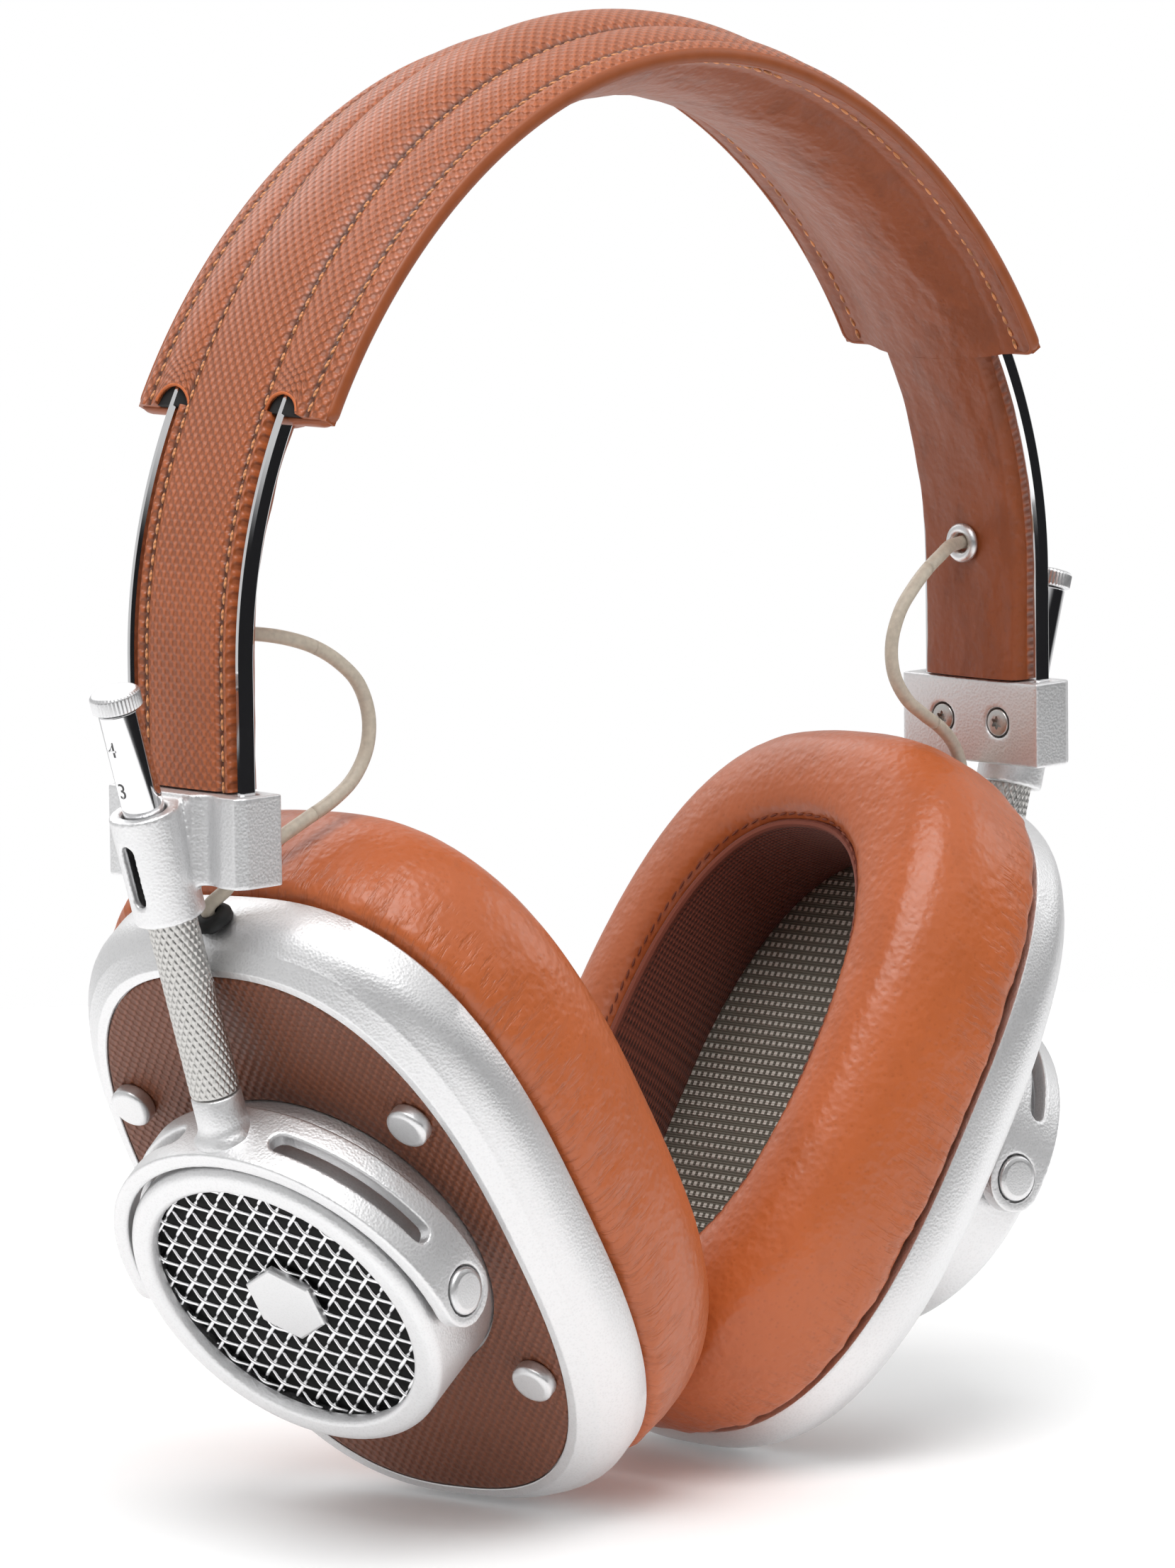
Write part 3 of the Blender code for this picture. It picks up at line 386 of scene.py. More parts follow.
class Surface:
    """A material with a Principled shader and the nodes that feed it."""

    def __init__(self, name):
        self.material = bpy.data.materials.new(name)
        self.material.use_nodes = True
        self.tree = self.material.node_tree
        self.shader = self.tree.nodes["Principled BSDF"]

    def node(self, kind, options=None, **inputs):
        made = self.tree.nodes.new(kind)
        for key, value in (options or {}).items():
            setattr(made, key, value)
        for key, value in inputs.items():
            index = int(key) if key.isdigit() else None
            socket = made.inputs[index] if index is not None else self.find(made, key)
            self.feed(socket, value)
        return Made(self, made)

    @staticmethod
    def find(node, name):
        return next(socket for socket in node.inputs if socket.name == name and socket.enabled)

    def feed(self, socket, value):
        if isinstance(value, Value):
            self.tree.links.new(value.socket, socket)
        elif isinstance(value, (tuple, list)) and len(value) == 3 and socket.type == "RGBA":
            socket.default_value = (*value, 1.0)
        else:
            socket.default_value = value

    def set(self, **inputs):
        for key, value in inputs.items():
            self.feed(self.shader.inputs[key.replace("_", " ")], value)
        return self

    def place(self):
        return self.node("ShaderNodeTexCoord")["Object"]

    def weave_place(self):
        """Along and across the cloth, in metres."""
        uv = self.node("ShaderNodeUVMap", {"uv_map": "cloth"})["UV"]
        split = self.node("ShaderNodeSeparateXYZ", Vector=uv)
        return split["X"], split["Y"]

    def grain(self, scale, detail=2.0, place=None, roughness=0.5):
        made = self.node("ShaderNodeTexNoise", Vector=place or self.place(), Scale=scale, Detail=detail,
                         Roughness=roughness)
        return made["Factor"] if "Factor" in [s.name for s in made.node.outputs] else made["Fac"]

    def cells(self, scale, place=None, feature="F1", smooth=None):
        inputs = {"Vector": place or self.place(), "Scale": scale}
        if smooth is not None:
            inputs["Smoothness"] = smooth
        return self.node("ShaderNodeTexVoronoi", {"feature": feature}, **inputs)["Distance"]

    def blend(self, share, one, two, kind="MIX"):
        return self.node("ShaderNodeMix", {"data_type": "RGBA", "blend_type": kind},
                         Factor=share, A=one, B=two)["Result"]

    def bump(self, height, depth, strength=1.0):
        made = self.node("ShaderNodeBump", Height=height, Distance=depth, Strength=strength)
        return made["Normal"]


def shade(colour, amount):
    return tuple(min(channel * amount, 1.0) for channel in colour)


def make_finishes():
    _band, _cup, look = settings()
    canvas, lambskin = tuple(look.canvas), tuple(look.lambskin)
    made = {}

    def canvas_finish(name, colour, gloss, seams):
        cloth = Surface(name)
        along, across = cloth.weave_place()
        wander = cloth.grain(160.0, 1.0) * 0.8
        rows = (across * (math.tau / (1.55 * MM)) + wander).sin()
        columns = (along * (math.tau / (1.95 * MM)) + wander).sin()
        knots = (rows * columns) * 0.5 + 0.5
        wear = cloth.grain(70.0, 4.0)
        fleck = cloth.grain(2400.0, 2.0)
        # Raised knots are painted lighter and the dips between them darker: painted highlight and painted shade of the
        # weave.
        tone = cloth.blend(knots.step(0.1, 0.75), shade(colour, 0.70), shade(colour, 1.08))
        tone = cloth.blend(wear.step(0.35, 0.7) * 0.35, tone, shade(colour, 1.22))
        # Dark lines along the stitch rows, scaled by seams: painted shade in the seam grooves.
        inner = (across.absolute() - INNER_SEAM).absolute().step(0.2 * MM, 0.75 * MM)
        outer = (across.absolute() - OUTER_SEAM).absolute().step(0.2 * MM, 0.75 * MM)
        tone = cloth.blend(1.0 - inner * outer * seams - (1.0 - seams), tone, shade(colour, 0.30))
        height = knots.step(0.12, 0.95) + fleck * 0.07 + wear * 0.2
        cloth.set(Base_Color=tone, Roughness=gloss + 0.16 * (1.0 - knots) + fleck * 0.08,
                  Normal=cloth.bump(height, 0.34 * MM, 1.0))
        cloth.set(Coat_Weight=0.22, Coat_Roughness=0.28, Specular_IOR_Level=0.6)
        return cloth.material

    made["coated_canvas"] = canvas_finish("coated_canvas", canvas, 0.31, 1.0)
    made["plate_canvas"] = canvas_finish("plate_canvas", shade(canvas, 0.46), 0.46, 0.0)

    def skin_finish(name, colour, creases, gloss, gathered):
        skin = Surface(name)
        place = skin.place()
        stretch = skin.node("ShaderNodeMapping", Vector=place, Scale=(1.0, 1.0, 0.45))["Vector"]
        pores = skin.cells(1050.0, smooth=0.4, feature="SMOOTH_F1")
        fine = skin.cells(620.0, smooth=0.5, feature="SMOOTH_F1")
        fold = skin.grain(190.0, 5.0, stretch, 0.62)
        cloud = skin.grain(38.0, 3.0)
        tone = skin.blend(cloud.step(0.3, 0.7), shade(colour, 0.95), shade(colour, 1.06))
        tone = skin.blend((1.0 - pores.step(0.0, 0.35)) * 0.30, tone, shade(colour, 0.62))
        # Darker along the folds, scaled by creases: painted shade in the creases.
        tone = skin.blend((1.0 - fold.step(0.36, 0.5)) * creases * 0.35, tone, shade(colour, 0.55))
        height = pores * 0.5 + fine * 0.7 + fold * (2.6 * creases)
        if gathered:
            around, depth = skin.weave_place()
            spot = skin.node("ShaderNodeCombineXYZ", X=around, Y=depth * 0.16)["Vector"]
            gathers = skin.grain(1150.0, 3.0, spot, 0.6).step(0.30, 0.52)
            near = 1.0 - depth.step(4.0 * MM, 13.0 * MM)
            height = height + gathers * near * 0.8
            # Darker between the gathers: painted shade in their dips.
            tone = skin.blend((1.0 - gathers) * near * 0.22, tone, shade(colour, 0.5))
        skin.set(Base_Color=tone, Roughness=gloss + pores * 0.10 + cloud * 0.06,
                 Normal=skin.bump(height, 0.17 * MM, 0.85))
        skin.set(Coat_Weight=0.10, Coat_Roughness=0.30, Specular_IOR_Level=0.5)
        return skin.material

    # The lining's lambskin is the pads' leather darkened to 0.58: painted shade for the band's underside and straps.
    made["lambskin"] = skin_finish("lambskin", shade(lambskin, 0.58), 0.9, 0.40, False)
    made["pad_skin"] = skin_finish("pad_skin", lambskin, 0.35, 0.29, True)

    paint = Surface("painted_edge")
    rub = paint.grain(300.0, 3.0)
    paint.set(Base_Color=paint.blend(rub, shade(canvas, 0.62), shade(canvas, 0.95)),
              Roughness=0.38 + rub * 0.15, Normal=paint.bump(rub, 0.12 * MM, 0.6))
    made["painted_edge"] = paint.material

    thread = Surface("sewing_thread")
    place = thread.place()
    twist = thread.node("ShaderNodeTexWave", {"wave_type": "BANDS", "bands_direction": "DIAGONAL"},
                        Vector=place, Scale=620.0, Distortion=1.2)["Fac"]
    tone = tuple(look.thread)
    thread.set(Base_Color=thread.blend(twist, shade(tone, 0.55), shade(tone, 1.15)), Roughness=0.62,
               Normal=thread.bump(twist, 0.08 * MM, 0.8))
    thread.set(Sheen_Weight=0.25)
    made["sewing_thread"] = thread.material

    def metal_finish(name, colour, gloss, blast, depth):
        metal = Surface(name)
        beads = metal.cells(blast)
        haze = metal.grain(60.0, 3.0)
        metal.set(Base_Color=metal.blend(beads.step(0.0, 0.6), shade(colour, 0.93), colour),
                  Metallic=1.0, Roughness=gloss + haze * 0.08 + beads * 0.05,
                  Normal=metal.bump(beads, depth, 0.5))
        return metal.material

    metal = tuple(look.metal)
    made["satin_aluminium"] = metal_finish("satin_aluminium", metal, 0.42, 2400.0, 0.07 * MM)
    made["turned_face"] = metal_finish("turned_face", shade(metal, 0.94), 0.33, 3400.0, 0.02 * MM)
    made["knurled_steel"] = metal_finish("knurled_steel", (0.60, 0.59, 0.57), 0.30, 3000.0, 0.02 * MM)

    chrome = Surface("polished_steel")
    smear = chrome.grain(90.0, 3.0)
    chrome.set(Base_Color=(0.80, 0.80, 0.81), Metallic=1.0, Roughness=0.055 + smear * 0.05)
    made["polished_steel"] = chrome.material

    wire = Surface("woven_wire")
    drawn = wire.grain(1500.0, 2.0)
    wire.set(Base_Color=(0.90, 0.90, 0.91), Metallic=1.0, Roughness=0.10 + drawn * 0.10)
    made["woven_wire"] = wire.material

    def plain(name, colour, roughness, scale, depth, metallic=0.0):
        surface = Surface(name)
        speckle = surface.grain(scale, 3.0)
        surface.set(Base_Color=surface.blend(speckle, shade(colour, 0.7), shade(colour, 1.2)),
                    Metallic=metallic, Roughness=roughness + speckle * 0.12,
                    Normal=surface.bump(speckle, depth, 0.5))
        return surface.material

    made["raw_edge"] = plain("raw_edge", shade(canvas, 1.5), 0.6, 900.0, 0.08 * MM)
    # Near black: the grille's backing, and painted shade in the band's rail openings.
    made["dark_backing"] = plain("dark_backing", (0.006, 0.006, 0.006), 0.75, 900.0, 0.05 * MM)
    made["black_rubber"] = plain("black_rubber", (0.013, 0.013, 0.013), 0.55, 1500.0, 0.04 * MM)
    made["black_polymer"] = plain("black_polymer", (0.02, 0.02, 0.02), 0.45, 1100.0, 0.04 * MM)
    made["scale_ink"] = plain("scale_ink", (0.09, 0.09, 0.09), 0.5, 1500.0, 0.01 * MM)
    made["foam"] = plain("foam", (0.05, 0.05, 0.05), 0.9, 1600.0, 0.2 * MM)
    made["magnet_steel"] = plain("magnet_steel", (0.4, 0.4, 0.42), 0.3, 700.0, 0.02 * MM, 1.0)
    made["driver_film"] = plain("driver_film", (0.55, 0.5, 0.42), 0.3, 500.0, 0.03 * MM)
    made["board_green"] = plain("board_green", (0.02, 0.13, 0.05), 0.4, 500.0, 0.02 * MM)
    made["cream_cable"] = plain("cream_cable", (0.60, 0.53, 0.43), 0.42, 1200.0, 0.02 * MM)

    knit = Surface("liner_knit")
    along, across = knit.weave_place()
    ribs = (across * (math.tau / (0.62 * MM))).sin() * 0.5 + 0.5
    loops = (along * (math.tau / (0.85 * MM)) + ribs * 1.8).sin() * 0.5 + 0.5
    yarn = ribs * 0.6 + loops * 0.4
    knit.set(Base_Color=knit.blend(yarn, (0.055, 0.012, 0.007), (0.34, 0.085, 0.045)), Roughness=0.85,
             Normal=knit.bump(yarn, 0.22 * MM, 0.9))
    knit.set(Sheen_Weight=0.12)
    made["liner_knit"] = knit.material

    made["liner_thread"] = plain("liner_thread", (0.20, 0.045, 0.02), 0.7, 1500.0, 0.05 * MM)

    cloth = Surface("driver_cloth")
    along, across = cloth.weave_place()
    pitch, row = 1.35 * MM, 1.55 * MM
    dots = (along * (math.pi / pitch)).sin().absolute().step(0.45, 0.80)
    lines = (across * (math.pi / row)).sin().absolute().step(0.62, 0.90)
    spots = dots * lines
    threads = (across * (math.tau / (0.38 * MM))).sin() * 0.5 + 0.5
    fuzz = cloth.grain(1800.0, 3.0)
    tone = cloth.blend(threads * 0.6 + fuzz * 0.4, (0.085, 0.078, 0.060), (0.20, 0.185, 0.15))
    cloth.set(Base_Color=cloth.blend(spots, tone, (0.66, 0.63, 0.57)), Roughness=0.8,
              Normal=cloth.bump(spots + threads * 0.35 + fuzz * 0.3, 0.20 * MM, 0.9))
    made["driver_cloth"] = cloth.material

    floor = Surface("studio_floor")
    floor.set(Base_Color=(0.95, 0.95, 0.95), Roughness=0.6)
    floor.set(Emission_Color=(1.0, 1.0, 1.0), Emission_Strength=0.08)
    made["studio_floor"] = floor.material
    return made


FINISHES = {}


def finish(name):
    if not FINISHES:
        FINISHES.update(make_finishes())
    return FINISHES[name]


# ------------------------------------------------------------ making pieces

def piece(name, mesh, body, finishes, replaces=(), place=None, angle=32.0, slot=None):
    """Put a finished mesh on its body; its place goes into the mesh."""
    if place is not None:
        mesh.transform(place)
    if angle is not None:
        mesh.shade_smooth()
        mesh.set_sharp_from_angle(angle=math.radians(angle))
    obj = bpy.data.objects.new(name, mesh)
    bpy.context.scene.collection.objects.link(obj)
    if isinstance(finishes, str):
        finishes = (finishes,)
    for item in finishes:
        mesh.materials.append(finish(item))
    if body:
        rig.ride(obj, body)
    if replaces:
        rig.replaces(obj, *replaces)
    if slot:
        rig.slot(obj, slot)
    return obj


def mesh_from(bm, name, outward=True):
    if outward:
        bmesh.ops.recalc_face_normals(bm, faces=bm.faces)
    mesh = bpy.data.meshes.new(name)
    bm.to_mesh(mesh)
    bm.free()
    return mesh


def loft(name, loops, ring=False, caps=True, paint=None, cloth=None, open_section=False):
    """Skin a row of loops.  paint gives a side's material index; cloth gives (along, across) for a UV map."""
    bm = bmesh.new()
    layer = bm.loops.layers.uv.new("cloth") if cloth else None
    rows = [[bm.verts.new(point) for point in loop] for loop in loops]
    count = len(rows[0])
    spans = count - 1 if open_section else count
    following = rows[1:] + rows[:1] if ring else rows[1:]
    for k, (one, two) in enumerate(zip(rows, following)):
        for i in range(spans):
            j = (i + 1) % count
            face = bm.faces.new((one[i], one[j], two[j], two[i]))
            if paint:
                face.material_index = paint[i]
            if layer:
                for corner, (row, item) in zip(face.loops, ((k, i), (k, i + 1), (k + 1, i + 1), (k + 1, i))):
                    corner[layer].uv = cloth(row, item)
    if caps == "strips":
        for end in (rows[0], rows[-1]):
            for i in range(count // 2 - 1):
                cap = bm.faces.new((end[i], end[i + 1], end[count - 2 - i], end[count - 1 - i]))
                cap.material_index = 1
    elif caps and not ring:
        for end in (rows[0], rows[-1]):
            cap = bm.faces.new(end)
            if paint:
                cap.material_index = max(paint)
    return mesh_from(bm, name, not open_section)


def lathe(name, profile, sides=64, radius=None):
    """Turn a (radius, height) profile about Z; radius(angle, r, z) may change it.  A closed profile starts
    off the axis; an open one starts and ends on it."""
    closed = profile[0][0] > 0.0
    points = [(r, z) for r, z in profile if r > 0.0]
    loops = []
    for r, z in points:
        loop = []
        for i in range(sides):
            angle = math.tau * i / sides
            reach = radius(angle, r, z) if radius else r
            loop.append((reach * math.cos(angle), reach * math.sin(angle), z))
        loops.append(loop)
    return loft(name, loops, ring=closed)


def rounded(points, radius, steps=4):
    """Round the inner corners of an open (radius, height) profile."""
    result = [points[0]]
    for before, here, after in zip(points, points[1:], points[2:]):
        a, b, c = Vector(before), Vector(here), Vector(after)
        reach = min(radius, (a - b).length * 0.45, (c - b).length * 0.45)
        if reach < 0.01 * MM or b.x < 0.02 * MM:
            result.append(here)
            continue
        start, end = b + (a - b).normalized() * reach, b + (c - b).normalized() * reach
        for i in range(steps + 1):
            t = i / steps
            result.append(tuple(start * (1 - t) ** 2 + b * 2 * t * (1 - t) + end * t * t))
    result.append(points[-1])
    return result


def superellipse(half_width, half_height, squareness, x, count=144):
    points = []
    for i in range(count):
        angle = math.tau * (i + 0.5) / count
        c, s = math.cos(angle), math.sin(angle)
        points.append((x, half_width * math.copysign(abs(c) ** (2 / squareness), c),
                       half_height * math.copysign(abs(s) ** (2 / squareness), s)))
    return points


def cup_loop(inset, height, count=144):
    return superellipse(CUP_HALF_WIDTH - inset, CUP_HALF_HEIGHT - inset, 2.8 - 45.0 * inset,
                        height - PIN_HEIGHT, count)


def oval_loop(half_width, half_height, height, count=144, squareness=2.4):
    return superellipse(half_width, half_height, squareness, height - PIN_HEIGHT, count)


def box(bm, low, high):
    made = bmesh.ops.create_cube(bm, size=1.0)["verts"]
    size = [b - a for a, b in zip(low, high)]
    middle = [(a + b) / 2 for a, b in zip(low, high)]
    bmesh.ops.transform(bm, verts=made, matrix=Matrix.Translation(middle) @ Matrix.Diagonal((*size, 1.0)))


def box_mesh(low, high):
    bm = bmesh.new()
    box(bm, low, high)
    return mesh_from(bm, "block")


def carve(mesh, others, soften=0):
    """Join or cut meshes in order, each as (operation, mesh), then wear the edges round."""
    scene = bpy.context.scene.collection
    base = bpy.data.objects.new("carved", mesh)
    scene.objects.link(base)
    tools = []
    for operation, other in others:
        tool = bpy.data.objects.new("tool", other)
        scene.objects.link(tool)
        tools.append(tool)
        modifier = base.modifiers.new("join", "BOOLEAN")
        modifier.object = tool
        modifier.operation = operation
        modifier.solver = "EXACT"
    if soften:
        even = base.modifiers.new("even", "REMESH")
        even.mode = "VOXEL"
        even.voxel_size = 0.24 * MM
        worn = base.modifiers.new("worn", "SMOOTH")
        worn.factor = 0.5
        worn.iterations = soften
    bpy.context.view_layer.update()
    made = bpy.data.meshes.new_from_object(base.evaluated_get(bpy.context.evaluated_depsgraph_get()))
    for obj in [base] + tools:
        bpy.data.objects.remove(obj, do_unlink=True)
    return made


# ------------------------------------------------------------ the band's surface

def band_place(s):
    """Middle line of the band at s metres above the leather's left end: place, outward normal, share of rise."""
    leg = SPRING_HEIGHT - LEATHER_BOTTOM
    arc = math.pi * ARCH_RADIUS
    if s <= leg or s >= leg + arc:
        side = 1.0 if s <= leg else -1.0
        height = LEATHER_BOTTOM + (s if s <= leg else 2 * leg + arc - s)
        place, normal = Vector((side * ARCH_RADIUS, 0.0, height)), Vector((side, 0.0, 0.0))
    else:
        angle = (s - leg) / ARCH_RADIUS
        radius = ARCH_RADIUS - ARCH_DIP * math.sin(2 * angle) ** 2
        slope = -4 * ARCH_DIP * math.sin(2 * angle) * math.cos(2 * angle)
        place = Vector((radius * math.cos(angle), 0.0, SPRING_HEIGHT + radius * math.sin(angle)))
        tangent = Vector((slope * math.cos(angle) - radius * math.sin(angle), 0.0,
                          slope * math.sin(angle) + radius * math.cos(angle))).normalized()
        normal = Vector((tangent.z, 0.0, -tangent.x))
    start = SPRING_HEIGHT + 0.3 * ARCH_RADIUS
    share = min(max((place.z - start) / (0.92 * (SPRING_HEIGHT + ARCH_RADIUS - start)), 0.0), 1.0)
    return place, normal, share * share * (3 - 2 * share)


BAND_LENGTH = 2 * (SPRING_HEIGHT - LEATHER_BOTTOM) + math.pi * ARCH_RADIUS


def flap_start():
    """Distance along the band at which the left flap begins."""
    low, high = 0.0, BAND_LENGTH / 2
    for _ in range(40):
        middle = (low + high) / 2
        low, high = (middle, high) if band_place(middle)[0].z < FLAP_HEIGHT else (low, middle)
    return low


FLAP_START = flap_start()


def dent(y, at, width, depth):
    return -depth * math.exp(-((abs(y) - at) / width) ** 2)


def top_height(y, rise):
    """Outer surface of the cover over the rails' middle line."""
    seam = 1.5 * MM + (2.75 * MM - 1.5 * MM) * rise
    crown = 1.9 * MM + (settings()[0].crown - 1.9 * MM) * rise
    y = abs(y)
    if y < INNER_SEAM:
        height = seam + (crown - seam) * (1 - (y / INNER_SEAM) ** 2.2)
    elif y < OUTER_SEAM:
        share = (y - INNER_SEAM) / (OUTER_SEAM - INNER_SEAM)
        height = seam + (1.0 * MM - seam) * share + 0.7 * MM * math.sin(math.pi * share)
    else:
        share = (y - OUTER_SEAM) / (BAND_HALF_WIDTH - OUTER_SEAM)
        height = 1.0 * MM * (1 - share ** 1.6) + 0.25 * MM * math.sin(math.pi * share)
    return height + dent(y, INNER_SEAM, 0.75 * MM, 0.45 * MM) + dent(y, OUTER_SEAM, 0.7 * MM, 0.32 * MM)


def under_depth(y, rise):
    """Inner surface of the lining under the rails' middle line."""
    depth = 4.7 * MM + (settings()[0].padding - 4.7 * MM) * rise
    y = abs(y)
    if y < 13.0 * MM:
        share = y / (13.0 * MM)
        padded = 2.3 * MM + (depth - 2.3 * MM) * (1 - share ** 2.3)
    else:
        padded = 2.3 * MM + (1.9 * MM - 2.3 * MM) * (y - 13.0 * MM) / (BAND_HALF_WIDTH - 13.0 * MM)
    return padded + dent(y, OUTER_SEAM, 0.7 * MM, 0.25 * MM)


def notch(y):
    """How far a flap's end is cut back over a rail, as an arch."""
    share = (abs(y) - RAIL_Y) / (3.1 * MM)
    return 2.9 * MM * math.sqrt(max(1.0 - share * share, 0.0))


def strap_side(y, depth):
    """Rounds the strap's own edges where it runs alone below the flaps."""
    share = min(max((STRAP_HALF_WIDTH - abs(y)) / (1.0 * MM), 0.0), 1.0)
    return depth * math.sqrt(max(1 - (1 - share) ** 2, 0.0))


def spread(half_width, count, tight):
    """Offsets across the band, closer together near its edges."""
    return [half_width * math.copysign(abs(t) ** tight, t) for t in
            [-1 + 2 * i / (count - 1) for i in range(count)]]


def band_skin(name, first, last, steps, half_width, upper, wrinkle=0.0):
    """Upper or lower half of the padded band between two distances along it, as one closed body."""
    rows, lengths = [], []
    ys = spread(half_width, 75 if half_width > 10 * MM else 47, 0.92)
    narrow = half_width < 10 * MM
    for k in range(steps + 1):
        s = first + (last - first) * k / steps
        loop, under = [], []
        for y in ys:
            shift = notch(y) if upper and not narrow else 0.0
            near = max(0.0, 1.0 - min(s - first, last - s) / (7.0 * MM))
            place, normal, rise = band_place(s + math.copysign(shift * near, (first + last) / 2 - s))
            out = top_height(y, rise) if upper else -under_depth(y, rise)
            if narrow:
                out = strap_side(y, out + 1.6 * MM) - 1.6 * MM
            if wrinkle:
                spot = place * 95.0 + Vector((0.0, y * 190.0, 0.0))
                out += wrinkle * noise.fractal(spot, 0.9, 2.0, 3)
            loop.append(place + normal * out + Vector((0.0, y, 0.0)))
            under.append((place + Vector((0.0, y, 0.0)), normal))
        parting = -0.95 * MM if not narrow else -1.6 * MM
        rows.append(loop + [centre + side * parting for centre, side in reversed(under)])
        lengths.append(s)
    count = len(ys)
    paint = [0] * (count - 1) + [1] * (count + 1)
    across = ys + ys[::-1] + ys[:1]

    def cloth(row, item):
        return lengths[min(row, steps)], across[item]

    return loft(name, rows, caps="strips", paint=paint, cloth=cloth)


def path_on_band(y, first, last, step, lift, under=False):
    points = []
    count = max(2, round((last - first) / step))
    for k in range(count + 1):
        place, normal, rise = band_place(first + (last - first) * k / count)
        out = -under_depth(y, rise) - lift if under else top_height(y, rise) + lift
        points.append(place + normal * out + Vector((0.0, y, 0.0)))
    return points


def stitch_tree():
    """Lays a stitch at every pitch along the curves it is given."""
    tree = bpy.data.node_groups.get("stitch_rows")
    if tree:
        return tree
    tree = bpy.data.node_groups.new("stitch_rows", "GeometryNodeTree")
    face = tree.interface
    face.new_socket("Rows", in_out="INPUT", socket_type="NodeSocketGeometry")
    for name in ("Pitch", "Thread"):
        face.new_socket(name, in_out="INPUT", socket_type="NodeSocketFloat")
    face.new_socket("Finish", in_out="INPUT", socket_type="NodeSocketMaterial")
    face.new_socket("Stitches", in_out="OUTPUT", socket_type="NodeSocketGeometry")
    nodes, links = tree.nodes, tree.links
    source, result = nodes.new("NodeGroupInput"), nodes.new("NodeGroupOutput")
    curve = nodes.new("GeometryNodeMeshToCurve")
    points = nodes.new("GeometryNodeCurveToPoints")
    points.mode = "LENGTH"
    ball = nodes.new("GeometryNodeMeshUVSphere")
    ball.inputs["Segments"].default_value = 8
    ball.inputs["Rings"].default_value = 6
    ball.inputs["Radius"].default_value = 0.5
    size = nodes.new("ShaderNodeCombineXYZ")
    length = nodes.new("ShaderNodeMath")
    length.operation = "MULTIPLY"
    length.inputs[1].default_value = 0.80
    lay = nodes.new("GeometryNodeInstanceOnPoints")
    turn = nodes.new("FunctionNodeRotateRotation")
    turn.rotation_space = "LOCAL"
    turn.inputs["Rotate By"].default_value = (math.radians(7.0), math.radians(7.0), 0.0)
    real = nodes.new("GeometryNodeRealizeInstances")
    smooth = nodes.new("GeometryNodeSetShadeSmooth")
    painted = nodes.new("GeometryNodeSetMaterial")
    links.new(source.outputs["Rows"], curve.inputs["Mesh"])
    links.new(curve.outputs["Curve"], points.inputs["Curve"])
    links.new(source.outputs["Pitch"], points.inputs["Length"])
    links.new(points.outputs["Points"], lay.inputs["Points"])
    links.new(points.outputs["Rotation"], turn.inputs["Rotation"])
    links.new(turn.outputs["Rotation"], lay.inputs["Rotation"])
    links.new(ball.outputs["Mesh"], lay.inputs["Instance"])
    links.new(source.outputs["Pitch"], length.inputs[0])
    links.new(source.outputs["Thread"], size.inputs["X"])
    links.new(source.outputs["Thread"], size.inputs["Y"])
    links.new(length.outputs["Value"], size.inputs["Z"])
    links.new(size.outputs["Vector"], lay.inputs["Scale"])
    links.new(lay.outputs["Instances"], real.inputs["Geometry"])
    links.new(real.outputs["Geometry"], smooth.inputs["Geometry"])
    links.new(smooth.outputs["Geometry"], painted.inputs["Geometry"])
    links.new(source.outputs["Finish"], painted.inputs["Material"])
    links.new(painted.outputs["Geometry"], result.inputs["Stitches"])
    return tree


def wire_tree():
    """Gives every edge path a round wire."""
    tree = bpy.data.node_groups.get("round_wires")
    if tree:
        return tree
    tree = bpy.data.node_groups.new("round_wires", "GeometryNodeTree")
    face = tree.interface
    face.new_socket("Paths", in_out="INPUT", socket_type="NodeSocketGeometry")
    face.new_socket("Thickness", in_out="INPUT", socket_type="NodeSocketFloat")
    face.new_socket("Finish", in_out="INPUT", socket_type="NodeSocketMaterial")
    face.new_socket("Wires", in_out="OUTPUT", socket_type="NodeSocketGeometry")
    nodes, links = tree.nodes, tree.links
    source, result = nodes.new("NodeGroupInput"), nodes.new("NodeGroupOutput")
    curve = nodes.new("GeometryNodeMeshToCurve")
    half = nodes.new("ShaderNodeMath")
    half.operation = "MULTIPLY"
    half.inputs[1].default_value = 0.5
    section = nodes.new("GeometryNodeCurvePrimitiveCircle")
    section.inputs["Resolution"].default_value = 8
    sweep = nodes.new("GeometryNodeCurveToMesh")
    sweep.inputs["Fill Caps"].default_value = True
    real = nodes.new("GeometryNodeRealizeInstances")
    smooth = nodes.new("GeometryNodeSetShadeSmooth")
    painted = nodes.new("GeometryNodeSetMaterial")
    links.new(source.outputs["Paths"], curve.inputs["Mesh"])
    links.new(source.outputs["Thickness"], half.inputs[0])
    links.new(half.outputs["Value"], section.inputs["Radius"])
    links.new(curve.outputs["Curve"], sweep.inputs["Curve"])
    links.new(section.outputs["Curve"], sweep.inputs["Profile Curve"])
    links.new(sweep.outputs["Mesh"], real.inputs["Geometry"])
    links.new(real.outputs["Geometry"], smooth.inputs["Geometry"])
    links.new(smooth.outputs["Geometry"], painted.inputs["Geometry"])
    links.new(source.outputs["Finish"], painted.inputs["Material"])
    links.new(painted.outputs["Geometry"], result.inputs["Wires"])
    return tree


